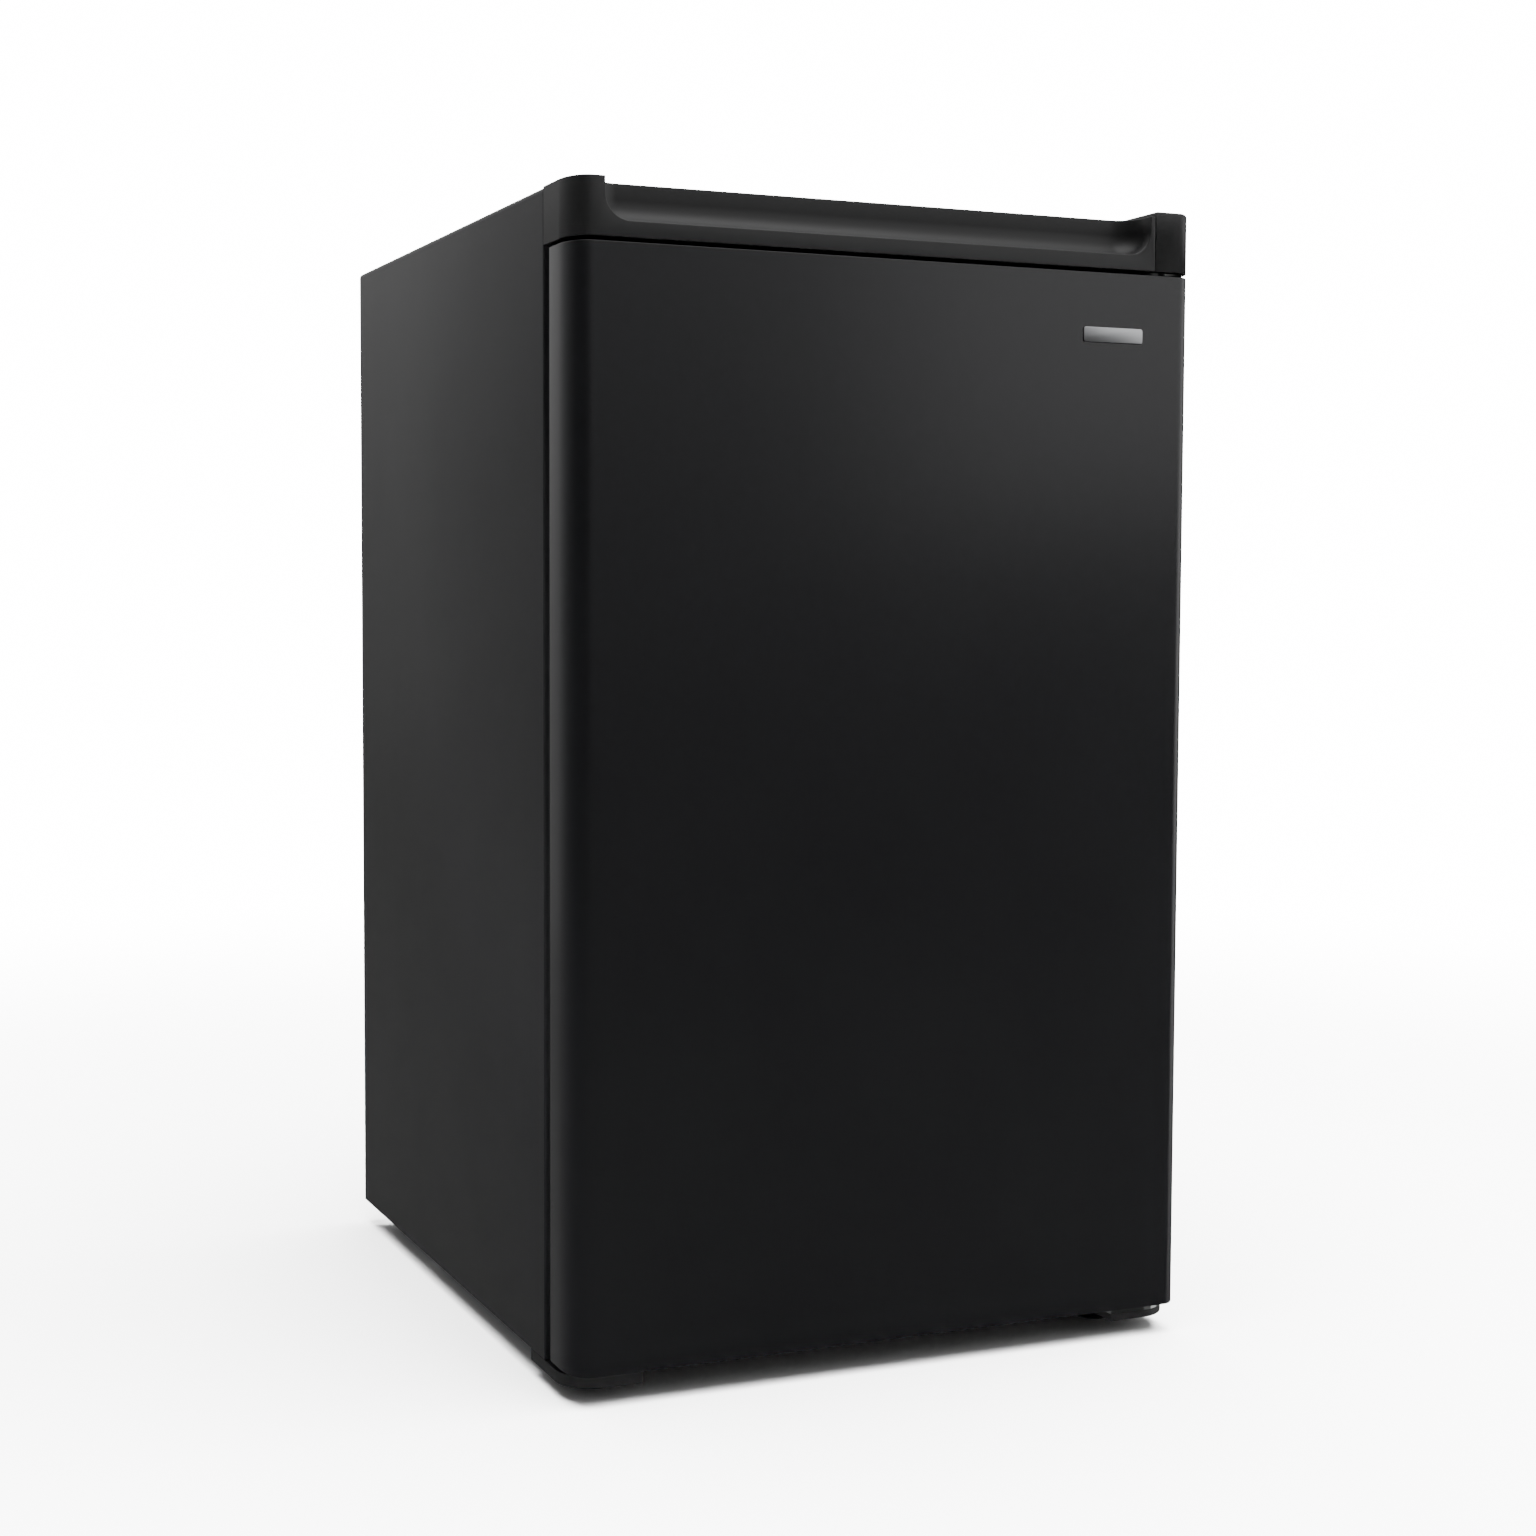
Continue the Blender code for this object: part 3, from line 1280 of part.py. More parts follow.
def build_door():
    door = pivot("door_axis", (PIN_X, PIN_Y, DOOR_BOTTOM))
    door_panel(door)
    door_caps(door)
    door_foam(door)
    door_liner(door)
    door_gasket(door)
    badge_plate(door)
    hinge_bushes(door)
    door_racks(door)


clear_scene()
PARTS = new_collection("mini_fridge")
CUTTERS = new_collection("cutters")
build_cabinet()
build_machine()
build_inside()
build_door()
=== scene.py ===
"""The looks of a compact refrigerator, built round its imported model.

Metres, +Z up. The door faces -Y and hangs on the right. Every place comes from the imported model's boxes.
"""

from __future__ import annotations

import json
import logging
import math
from dataclasses import dataclass, field
from enum import Enum
from typing import Iterable, Optional, Sequence

import bmesh
import bpy
from bmesh.types import BMesh
from bpy.types import Material, Node, NodeSocket, NodeTree, Object
from mathutils import Matrix, Vector

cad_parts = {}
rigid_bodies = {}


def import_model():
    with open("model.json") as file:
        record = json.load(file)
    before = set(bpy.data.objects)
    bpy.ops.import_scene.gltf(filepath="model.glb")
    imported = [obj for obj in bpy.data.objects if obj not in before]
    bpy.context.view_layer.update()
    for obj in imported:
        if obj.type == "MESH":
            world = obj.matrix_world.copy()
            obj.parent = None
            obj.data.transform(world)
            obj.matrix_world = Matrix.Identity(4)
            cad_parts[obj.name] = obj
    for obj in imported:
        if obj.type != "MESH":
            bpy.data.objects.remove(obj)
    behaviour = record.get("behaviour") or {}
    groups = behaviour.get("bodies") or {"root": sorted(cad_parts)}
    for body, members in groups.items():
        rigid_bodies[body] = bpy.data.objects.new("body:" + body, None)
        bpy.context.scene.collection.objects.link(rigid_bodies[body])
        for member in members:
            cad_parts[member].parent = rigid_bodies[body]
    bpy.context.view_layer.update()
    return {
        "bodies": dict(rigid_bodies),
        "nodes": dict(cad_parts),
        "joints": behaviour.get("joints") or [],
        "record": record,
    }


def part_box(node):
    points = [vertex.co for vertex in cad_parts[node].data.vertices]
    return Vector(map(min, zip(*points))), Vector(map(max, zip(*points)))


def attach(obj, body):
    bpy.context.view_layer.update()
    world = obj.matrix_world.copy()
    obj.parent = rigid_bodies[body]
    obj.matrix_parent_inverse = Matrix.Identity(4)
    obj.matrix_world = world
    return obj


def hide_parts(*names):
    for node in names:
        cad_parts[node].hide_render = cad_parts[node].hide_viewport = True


MM = 0.001
# How far the rounding of a front corner runs across and back.
FRONT_CORNER = (15 * MM, 27 * MM)
# The play when the edges or faces at a level are looked for.
PLAY = MM / 10
LOG = logging.getLogger("refrigerator")
Place = Sequence[float]


class Body(Enum):
    """The bodies that the pieces ride on."""

    CABINET = "cabinet"
    DOOR = "door"
    FLAP = "ice_flap"
    TRAY = "tray"
    CRISPER = "crisper"
    KNOB = "knob"
    LEFT_FOOT = "left_foot"
    RIGHT_FOOT = "right_foot"


class Edges(Enum):
    """Which edges of a box are rounded, by the axis that they run along."""

    ALONG_X = 0
    ALONG_Y = 1
    ALONG_Z = 2
    ALL = 3


class Pattern(Enum):
    """What a finish's relief or its colour patches are made of."""

    CLOUDS = "TexNoise"
    CELLS = "TexVoronoi"


# Shapes


def ease(shape: BMesh, edges: Iterable, radius: float, segments: int = 3) -> None:
    """Rounds edges of a shape.

    Args:
        shape: the shape to change.
        edges: its edges to round.
        radius: the radius.
        segments: how many facets the round has.
    """
    bmesh.ops.bevel(
        shape, geom=list(edges), offset=radius, offset_type="OFFSET", segments=segments, profile=0.5,
        material=-1, affect="EDGES", clamp_overlap=True
    )


def sharp(shape: BMesh, degrees: float = 40.0) -> list:
    """The edges of a shape where two faces meet at more than an angle."""
    limit = math.radians(degrees)
    return [e for e in shape.edges if e.is_manifold and e.calc_face_angle() > limit]


def past(items: Iterable, axis: int, level: float, sign: int = 1) -> list:
    """The edges or faces that lie wholly past a level of an axis: above it, or below it for sign -1."""
    return [item for item in items if all(sign * v.co[axis] > sign * level for v in item.verts)]


def block(
    low: Place, high: Place, radius: float = 0.0, segments: int = 4, which: Edges = Edges.ALL
) -> BMesh:
    """A box with rounded edges.

    Args:
        low: one of its corners.
        high: the corner opposite.
        radius: the radius of its edges.
        segments: how many facets a round has.
        which: the edges that are rounded.

    Returns:
        The shape.
    """
    shape = bmesh.new()
    bmesh.ops.create_cube(shape, size=1.0)
    low, high = (Vector(pick(pair) for pair in zip(low, high)) for pick in (min, max))
    bmesh.ops.scale(shape, vec=high - low, verts=shape.verts)
    bmesh.ops.translate(shape, vec=(high + low) / 2, verts=shape.verts)
    if radius:
        runs = [(edge, edge.verts[0].co - edge.verts[1].co) for edge in shape.edges]
        chosen = [edge for edge, way in runs if which is Edges.ALL or abs(way[which.value]) > MM / 100]
        ease(shape, chosen, radius, segments)
    return shape


def prism(outline: Sequence[Place], axis: int, start: float, end: float) -> BMesh:
    """A flat outline drawn out along an axis.

    Args:
        outline: pairs in the plane across the axis, in the order of the other two axes.
        axis: 0, 1 or 2 for X, Y or Z.
        start: where it starts along the axis.
        end: where it ends.

    Returns:
        The closed shape, with its faces out.
    """
    shape = bmesh.new()
    verts = []
    for pair in outline:
        place = list(pair)
        place.insert(axis, start)
        verts.append(shape.verts.new(place))
    face = shape.faces.new(verts)
    drawn = bmesh.ops.extrude_face_region(shape, geom=[face], use_keep_orig=True)
    moved = [item for item in drawn["geom"] if isinstance(item, bmesh.types.BMVert)]
    way = Vector((0, 0, 0))
    way[axis] = end - start
    bmesh.ops.translate(shape, vec=way, verts=moved)
    return recalc(shape)


def loft(
    loops: Sequence[Sequence[Place]], closed: bool = True, ends: bool = False, ring: bool = False
) -> BMesh:
    """A skin over loops of points, drawn out from each loop to the next, which has as many points.

    Args:
        loops: the loops, from one end to the other.
        closed: whether each loop is closed.
        ends: whether the first and last loops are filled.
        ring: whether the last loop joins the first.

    Returns:
        The shape, with its faces out where it is closed.
    """
    shape = bmesh.new()
    verts = [shape.verts.new(place) for place in loops[0]]
    after = verts[1:] + verts[:1] if closed else verts[1:]
    edges = [shape.edges.new(pair) for pair in zip(verts, after)]
    rims = [edges]
    for loop in [*loops[1:], *(loops[:1] if ring else [])]:
        drawn = bmesh.ops.extrude_edge_only(shape, edges=edges)["geom"]
        fresh = {item for item in drawn if isinstance(item, bmesh.types.BMVert)}
        edges = [
            item for item in drawn if isinstance(item, bmesh.types.BMEdge) and fresh.issuperset(item.verts)
        ]
        verts = [next(e.other_vert(v) for e in v.link_edges if e.other_vert(v) in fresh) for v in verts]
        for vert, place in zip(verts, loop):
            vert.co = place
    rims.append(edges)
    if ends:
        for rim in rims:
            bmesh.ops.edgeloop_fill(shape, edges=rim)
    if ring:
        bmesh.ops.remove_doubles(shape, verts=shape.verts, dist=MM / 1000)
    return recalc(shape)


def lathe(profile: Sequence[Place], at: Place, way: Place = (0, 0, 1), steps: int = 48) -> BMesh:
    """A turned shape.

    Args:
        profile: pairs of radius and height along the way.
        at: the point that height 0 is at.
        way: the direction of its axis.
        steps: how many facets go round.

    Returns:
        The shape.
    """
    shape = bmesh.new()
    verts = [shape.verts.new((radius, 0, height)) for radius, height in profile]
    edges = [shape.edges.new(pair) for pair in zip(verts, verts[1:])]
    bmesh.ops.spin(
        shape, geom=verts + edges, cent=(0, 0, 0), axis=(0, 0, 1), angle=math.tau, steps=steps,
        use_merge=True
    )
    bmesh.ops.remove_doubles(shape, verts=shape.verts, dist=MM / 100)
    bmesh.ops.recalc_face_normals(shape, faces=shape.faces)
    turn = Vector(way).to_track_quat("Z", "Y").to_matrix().to_4x4()
    bmesh.ops.transform(shape, matrix=Matrix.Translation(at) @ turn, verts=shape.verts)
    return shape


def rod(start: Place, end: Place, radius: float, sides: int = 32) -> BMesh:
    """A cylinder from one point to another."""
    way = Vector(end) - Vector(start)
    return lathe([(0, 0), (radius, 0), (radius, way.length), (0, way.length)], start, way, sides)


def span(node: str) -> tuple[Vector, Vector, Vector]:
    """The lowest corner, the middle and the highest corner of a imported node."""
    low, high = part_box(node)
    return low, (low + high) / 2, high


def link(made: Object) -> None:
    """Puts an object in the scene."""
    bpy.context.scene.collection.objects.link(made)


def recalc(shape: BMesh) -> BMesh:
    """Turns a shape's faces out, and returns it."""
    bmesh.ops.recalc_face_normals(shape, faces=shape.faces)
    return shape


def open_up(shape: BMesh, faces: list) -> None:
    """Takes faces away, so that a solid becomes an open sheet."""
    bmesh.ops.delete(shape, geom=faces, context="FACES")


def slab(
    low: Place, high: Place, corner: float, steps: int, which: Edges, edge: float, fine: int = 2
) -> BMesh:
    """A box with large rounds along one axis, whose other edges are only eased.

    Args:
        low: one of its corners.
        high: the corner opposite.
        corner: the radius of the large rounds.
        steps: how many facets they have.
        which: the edges that they are on.
        edge: the radius of the other edges.
        fine: how many facets those have.

    Returns:
        The shape.
    """
    shape = block(low, high, corner, steps, which)
    ease(shape, sharp(shape, 60), edge, fine)
    return shape


def mesh_of(shape: BMesh, name: str) -> bpy.types.Mesh:
    """Turns a shape into a mesh and frees the shape."""
    mesh = bpy.data.meshes.new(name)
    shape.to_mesh(mesh)
    shape.free()
    return mesh


def joined(*shapes: BMesh) -> BMesh:
    """Several shapes as one, each still its own body."""
    first = shapes[0]
    for other in shapes[1:]:
        mesh = mesh_of(other, "joined")
        first.from_mesh(mesh)
        bpy.data.meshes.remove(mesh)
    return first


def cut(shape: BMesh, *tools: BMesh) -> BMesh:
    """A shape with others taken out of it, its flat faces whole again."""
    body = bpy.data.objects.new("body", mesh_of(shape, "body"))
    link(body)
    knives = []
    for tool in tools:
        knife = bpy.data.objects.new("knife", mesh_of(tool, "knife"))
        link(knife)
        modifier = body.modifiers.new("cut", "BOOLEAN")
        modifier.operation = "DIFFERENCE"
        modifier.object = knife
        knives.append(knife)
    graph = bpy.context.evaluated_depsgraph_get()
    result = bmesh.new()
    result.from_object(body, graph)
    for used in (body, *knives):
        bpy.data.objects.remove(used, do_unlink=True)
    bmesh.ops.remove_doubles(result, verts=result.verts, dist=MM / 50)
    bmesh.ops.dissolve_limit(
        result, angle_limit=math.radians(0.5), verts=result.verts, edges=result.edges,
        use_dissolve_boundaries=False
    )
    return result


def tube(name: str, points: Sequence[Place], radius: float, cyclic: bool = False) -> Object:
    """A round tube or wire along points, as a curve."""
    curve = bpy.data.curves.new(name, "CURVE")
    curve.dimensions = "3D"
    curve.bevel_depth = radius
    curve.bevel_resolution = 3
    curve.use_fill_caps = True
    add_spline(curve, points, cyclic)
    return bpy.data.objects.new(name, curve)


def add_spline(curve: bpy.types.Curve, points: Sequence[Place], cyclic: bool = False) -> None:
    """Adds a run of straight pieces to a curve."""
    spline = curve.splines.new("POLY")
    spline.points.add(len(points) - 1)
    for point, place in zip(spline.points, points):
        point.co = (*place, 1.0)
    spline.use_cyclic_u = cyclic


def bent(corners: Sequence[Place], radius: float, steps: int = 8) -> list[Vector]:
    """Points along a path through corners, each corner rounded to a bend radius."""
    corners = [Vector(c) for c in corners]
    points = [corners[0]]
    for before, corner, after in zip(corners, corners[1:], corners[2:]):
        into = (before - corner).normalized()
        out = (after - corner).normalized()
        half = into.angle(out) / 2
        middle = corner + (into + out).normalized() * (radius / math.sin(half))
        first = (corner + into * radius / math.tan(half) - middle).normalized()
        last = (corner + out * radius / math.tan(half) - middle).normalized()
        points += [middle + first.slerp(last, i / steps) * radius for i in range(steps + 1)]
    points.append(corners[-1])
    return points


def rounded_loop(
    low: Place, high: Place, axis: int, level: float, radius: float, inset: float = 0.0, steps: int = 6
) -> list[Vector]:
    """A rectangle with rounded corners, across an axis.

    Args:
        low: the lowest corner of the box that it is in.
        high: the highest corner.
        axis: the axis that it lies across.
        level: where it is along the axis.
        radius: the corners' radius before the inset.
        inset: how far in from the box it runs.
        steps: how many facets a corner has.

    Returns:
        Its points, once round.
    """
    first, second = [i for i in range(3) if i != axis]
    bend = max(radius - inset, MM / 20)
    near = (low[first] + inset + bend, low[second] + inset + bend)
    far = (high[first] - inset - bend, high[second] - inset - bend)
    corners = ((far[0], far[1]), (near[0], far[1]), (near[0], near[1]), (far[0], near[1]))
    points = []
    for quarter, (across, up) in enumerate(corners):
        for i in range(steps + 1):
            angle = (quarter + i / steps) * math.pi / 2
            point = Vector((0, 0, 0))
            point[axis] = level
            point[first] = across + bend * math.cos(angle)
            point[second] = up + bend * math.sin(angle)
            points.append(point)
    return points


def quarter_turn(steps: int) -> list[tuple[float, float]]:
    """Pairs that go once round a quarter circle: from (1, 0) to (0, 1)."""
    angles = [i / steps * math.pi / 2 for i in range(steps + 1)]
    return [(math.cos(a), math.sin(a)) for a in angles]


def pan_heads(places: Iterable[Place], way: Place, radius: float) -> BMesh:
    """Pan-head screws with a cross recess, all facing one way.

    Args:
        places: where each head meets its seat.
        way: the direction that they face.
        radius: the radius of a head.

    Returns:
        The heads as one shape of separate bodies.
    """
    height = radius * 0.55
    profile = [(0, height)]
    profile += [(radius * (0.35 + 0.65 * s), height * (0.25 + 0.75 * c)) for c, s in quarter_turn(5)]
    profile += [(radius, 0), (0, 0)]
    width, reach = radius * 0.13, radius * 0.62
    slots = [
        block((-a, -b, height * 0.35), (a, b, height * 2)) for a, b in ((width, reach), (reach, width))
    ]
    head = mesh_of(cut(lathe(profile, (0, 0, 0), steps=24), *slots), "head")
    turn = Vector(way).to_track_quat("Z", "Y").to_matrix().to_4x4()
    heads = bmesh.new()
    for index, place in enumerate(places):
        mesh = head.copy()
        twist = Matrix.Rotation(index * 0.7, 4, "Z")
        mesh.transform(Matrix.Translation(place) @ turn @ twist)
        heads.from_mesh(mesh)
        bpy.data.meshes.remove(mesh)
    bpy.data.meshes.remove(head)
    return heads


# Finishes


def linear(colour: str) -> tuple[float, float, float, float]:
    """An sRGB hex colour, such as "#1a1a1a", in linear light."""
    parts = [int(colour[i : i + 2], 16) / 255 for i in (1, 3, 5)]
    made = [v / 12.92 if v <= 0.04045 else ((v + 0.055) / 1.055) ** 2.4 for v in parts]
    return (*made, 1.0)


def add_node(
    tree: NodeTree, kind: str, settings: Optional[dict] = None, inputs: Optional[dict] = None
) -> Node:
    """Adds a node to a tree.

    Args:
        tree: the tree.
        kind: the node's type, without its prefix.
        settings: values of its properties.
        inputs: its inputs by name or number, each a value or the socket that feeds it.

    Returns:
        The node.
    """
    made = tree.nodes.new(f"ShaderNode{kind}")
    for key, value in (settings or {}).items():
        setattr(made, key, value)
    for key, value in (inputs or {}).items():
        if isinstance(value, NodeSocket):
            tree.links.new(value, made.inputs[key])
        else:
            made.inputs[key].default_value = value
    return made


@dataclass(frozen=True)
class Relief:
    """A fine relief: the size of its grain and its depth in mm, its stretch and what it is made of."""

    size_mm: float
    depth_mm: float
    stretch: tuple[float, float, float] = (1.0, 1.0, 1.0)
    pattern: Pattern = Pattern.CLOUDS


@dataclass(frozen=True)
class Finish:
    """A real material with its surface: two close colours in patches, a span of roughness and a relief."""

    name: str
    slot: str
    colour: str
    second: str
    roughness: tuple[float, float]
    patch_mm: float = 60.0
    patches: Pattern = Pattern.CLOUDS
    metallic: float = 0.0
    transmission: float = 0.0
    cover: float = 1.0
    ior: float = 1.5
    relief: Optional[Relief] = None

    @staticmethod
    def texture(tree: NodeTree, pattern: Pattern, place: NodeSocket, size_mm: float) -> NodeSocket:
        """Adds a pattern whose grain has a real size, and returns its value's socket."""
        scale = 1.0 / (size_mm * MM)
        node = add_node(tree, pattern.value, None, {"Vector": place, "Scale": scale})
        if pattern is Pattern.CLOUDS:
            node.inputs["Detail"].default_value = 3.0
            return node.outputs["Fac"]
        return node.outputs["Color" if size_mm > 3 else "Distance"]

    def build(self) -> Material:
        """Makes the node material, named for the finish."""
        made = bpy.data.materials.new(self.name)
        made.use_nodes = True
        tree = made.node_tree
        shader = tree.nodes["Principled BSDF"]
        place = add_node(tree, "TexCoord").outputs["Object"]
        patch = self.texture(tree, self.patches, place, self.patch_mm)
        colours = {0: patch, 6: linear(self.colour), 7: linear(self.second)}
        tint = add_node(tree, "Mix", {"data_type": "RGBA"}, colours)
        span = {"Value": patch, "To Min": self.roughness[0], "To Max": self.roughness[1]}
        spread = add_node(tree, "MapRange", None, span)
        tree.links.new(tint.outputs[2], shader.inputs["Base Color"])
        tree.links.new(spread.outputs["Result"], shader.inputs["Roughness"])
        shader.inputs["Metallic"].default_value = self.metallic
        shader.inputs["Transmission Weight"].default_value = self.transmission
        shader.inputs["IOR"].default_value = self.ior
        shader.inputs["Alpha"].default_value = self.cover
        if self.relief:
            self.add_relief(tree, shader, place)
        return made

    def add_relief(self, tree: NodeTree, shader: Node, place: NodeSocket) -> None:
        """Adds the bump of the relief to the shader."""
        stretched = add_node(tree, "Mapping", None, {"Vector": place, "Scale": self.relief.stretch})
        grain = self.texture(tree, self.relief.pattern, stretched.outputs["Vector"], self.relief.size_mm)
        depth = {"Strength": 1.0, "Distance": self.relief.depth_mm * MM, "Height": grain}
        bump = add_node(tree, "Bump", None, depth)
        tree.links.new(bump.outputs["Normal"], shader.inputs["Normal"])


# Pre-painted steel, roller coated: smooth and half glossy, with a faint orange peel.
DOOR_ENAMEL = Finish(
    "polyester_enamel_roller_coated", "black_enamel", "#09090b", "#0b0b0d", (0.24, 0.28), patch_mm=150,
    relief=Relief(2.5, 0.004)
)
# The same steel with a fine embossed grain, which makes the sides a little duller than the door.
CABINET_ENAMEL = Finish(
    "polyester_enamel_embossed", "black_enamel", "#101012", "#151517", (0.36, 0.42), patch_mm=150,
    relief=Relief(1.6, 0.02)
)
# Injection-moulded ABS from a spark-eroded tool: satin, with a grain too fine to see from afar.
BLACK_ABS = Finish(
    "abs_moulded_black", "black_plastic", "#0e0e0f", "#121213", (0.44, 0.5), patch_mm=80,
    relief=Relief(0.8, 0.006)
)
# Vacuum-formed high-impact polystyrene: white and waxy, with a soft sheen.
WHITE_LINER = Finish(
    "polystyrene_vacuum_formed_white", "white_liner", "#e9ebe9", "#f1f2f0", (0.26, 0.36), patch_mm=90,
    relief=Relief(6.0, 0.02)
)
# Injection-moulded white polystyrene of the small fittings, glossier than the liner.
WHITE_FITTING = Finish(
    "polystyrene_moulded_white", "white_liner", "#eef0ee", "#f4f5f3", (0.22, 0.28),
    relief=Relief(0.8, 0.003)
)
# Extruded soft PVC over a strip of magnet: dark grey and matt.
GASKET_PVC = Finish(
    "soft_pvc_extruded_grey", "gasket", "#17181a", "#1e1f21", (0.5, 0.62), relief=Relief(1.2, 0.01)
)
# Polyurethane foam, blown in place: pale yellow with open cells.
FOAM = Finish(
    "polyurethane_foam_blown", "insulation", "#d9c58d", "#e6d7a6", (0.85, 0.95),
    relief=Relief(1.5, 0.3, pattern=Pattern.CELLS)
)
# Hot-dip galvanised steel: grey crystals of zinc that catch the light in turn.
ZINC = Finish(
    "steel_hot_dip_galvanised", "zinc_steel", "#8f9396", "#b9bcbe", (0.32, 0.5), patch_mm=9,
    patches=Pattern.CELLS, metallic=1.0, relief=Relief(0.8, 0.004)
)
# Bright zinc plating on turned steel.
BRIGHT_ZINC = Finish(
    "steel_zinc_plated", "zinc_steel", "#b4b6b5", "#c6c8c6", (0.2, 0.3), patch_mm=12, metallic=1.0
)
# Roll-bonded aluminium sheet: pale, drawn along its length, slightly clouded by frost.
ALUMINIUM = Finish(
    "aluminium_roll_bonded", "aluminium", "#c3c6c8", "#d6d9da", (0.34, 0.46), patch_mm=40, metallic=1.0,
    relief=Relief(0.7, 0.01, (0.05, 1.0, 1.0))
)
# Drawn copper tube: bright pink-brown with darker patches where it was brazed.
COPPER = Finish("copper_drawn", "copper", "#b5714c", "#c98a66", (0.22, 0.4), patch_mm=22, metallic=1.0)
# Black-painted steel of the compressor and the condenser: dipped, so it is thick and a little uneven.
DIPPED_PAINT = Finish(
    "steel_dip_painted_black", "black_enamel", "#111113", "#18181a", (0.34, 0.5), patch_mm=30,
    relief=Relief(3.0, 0.05)
)
# Vulcanised rubber: dead black and matt.
RUBBER = Finish(
    "rubber_vulcanised", "black_rubber", "#0f0f0f", "#161616", (0.7, 0.85), relief=Relief(1.0, 0.02)
)
# Clear moulded polystyrene with a blue-green cast.
CLEAR_PLASTIC = Finish(
    "polystyrene_moulded_clear", "clear_plastic", "#e3f0f1", "#eaf5f5", (0.03, 0.08), patch_mm=40,
    transmission=1.0, cover=0.55, ior=1.59
)
# Toughened float glass, green at its edges.
SHELF_GLASS = Finish(
    "glass_float_toughened", "shelf_glass", "#dcefe6", "#e2f3ea", (0.0, 0.02), transmission=1.0, cover=0.45,
    ior=1.52
)
# Chromed steel wire.
CHROME = Finish("steel_wire_chromed", "chrome", "#cfd1d3", "#d8dadb", (0.06, 0.1), metallic=1.0)
# Brushed aluminium foil plate.
BADGE_METAL = Finish(
    "aluminium_plate_brushed", "silver_print", "#b4b5b7", "#c2c3c5", (0.3, 0.38), metallic=1.0,
    relief=Relief(0.5, 0.004, (0.04, 1.0, 1.0))
)
# Natural polyamide of the hinge bushes: milky and waxy.
POLYAMIDE = Finish("polyamide_moulded_natural", "white_plastic", "#dcd9cc", "#e4e1d6", (0.35, 0.45))


@dataclass
class Workshop:
    """Gives finished pieces their material and hands them to the frame."""

    frame: dict
    materials: dict[str, Material] = field(default_factory=dict)
    count: int = 0

    def material(self, finish: Finish) -> Material:
        """The material of a finish, made once."""
        if finish.name not in self.materials:
            self.materials[finish.name] = finish.build()
        return self.materials[finish.name]

    def show(
        self, name: str, made: BMesh | Object, finish: Finish, node: str = "", body: Body = Body.CABINET,
        smooth: float = 40.0
    ) -> Object:
        """Adds a piece to the refrigerator.

        Args:
            name: the piece's name.
            made: its shape, or its object.
            finish: its finish, which knows the record's material slot.
            node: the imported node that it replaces, if any.
            body: the body that it moves with.
            smooth: the angle in degrees past which an edge stays sharp.

        Returns:
            The piece.
        """
        if isinstance(made, BMesh):
            mesh = mesh_of(made, name)
            mesh.shade_smooth()
            mesh.set_sharp_from_angle(angle=math.radians(smooth))
            made = bpy.data.objects.new(name, mesh)
        made.name = name
        made.data.materials.clear()
        made.data.materials.append(self.material(finish))
        link(made)
        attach(made, body.value)
        if node:
            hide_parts(node)
        self.count += 1
        LOG.info("%s rides on %s", name, body.value)
        return made

    def dress(self, finish: Finish, *nodes: str) -> None:
        """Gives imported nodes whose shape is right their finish."""
        for name in nodes:
            mesh = self.frame["nodes"][name].data
            mesh.materials.clear()
            mesh.materials.append(self.material(finish))


def thicken(piece: Object, wall: float, offset: float) -> None:
    """Gives an open sheet its thickness: offset -1 puts it behind the sheet and 1 in front."""
    modifier = piece.modifiers.new("thickness", "SOLIDIFY")
    modifier.thickness = wall
    modifier.offset = offset
    modifier.use_even_offset = True


# Cabinet


@dataclass
class Wrap:
    """The painted steel wrap of the cabinet, folded over at its front and back."""

    sheet: float = 0.6 * MM
    fold: float = 4 * MM
    hem: float = 1.2 * MM
    back_flange: float = 14 * MM

    def arch(self, y: float, side: float, top: float) -> list[Vector]:
        """An upside-down U across the cabinet: up one side, over the top and down the other."""
        low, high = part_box("outer_shell")
        bend = max(self.fold - side, MM / 10)
        right = [
            Vector((high.x - side - bend + bend * c, y, high.z - top - bend + bend * s))
            for c, s in quarter_turn(8)
        ]
        left = [Vector((low.x + high.x - p.x, y, p.z)) for p in reversed(right)]
        foot = [Vector((high.x - side, y, low.z))]
        other = [Vector((low.x + side, y, low.z))]
        return foot + right + left + other

    def build(self, shop: Workshop) -> None:
        """Builds the wrap as one sheet and dresses it."""
        low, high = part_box("outer_shell")
        liner_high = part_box("inner_liner")[1]
        round_front = [(self.hem * (1 - s), low.y + self.hem * (1 - c)) for c, s in quarter_turn(4)]
        mouth = (high.x - liner_high.x, high.z - liner_high.z)
        loops = [self.arch(low.y, mouth[0], mouth[1])]
        loops += [self.arch(y, inset, inset) for inset, y in round_front]
        loops += [self.arch(low.y + high.y - y, inset, inset) for inset, y in reversed(round_front)]
        loops.append(self.arch(high.y, self.back_flange, self.back_flange))
        wrap = shop.show("cabinet_wrap", loft(loops, closed=False), CABINET_ENAMEL, "outer_shell")
        thicken(wrap, self.sheet, -1.0)


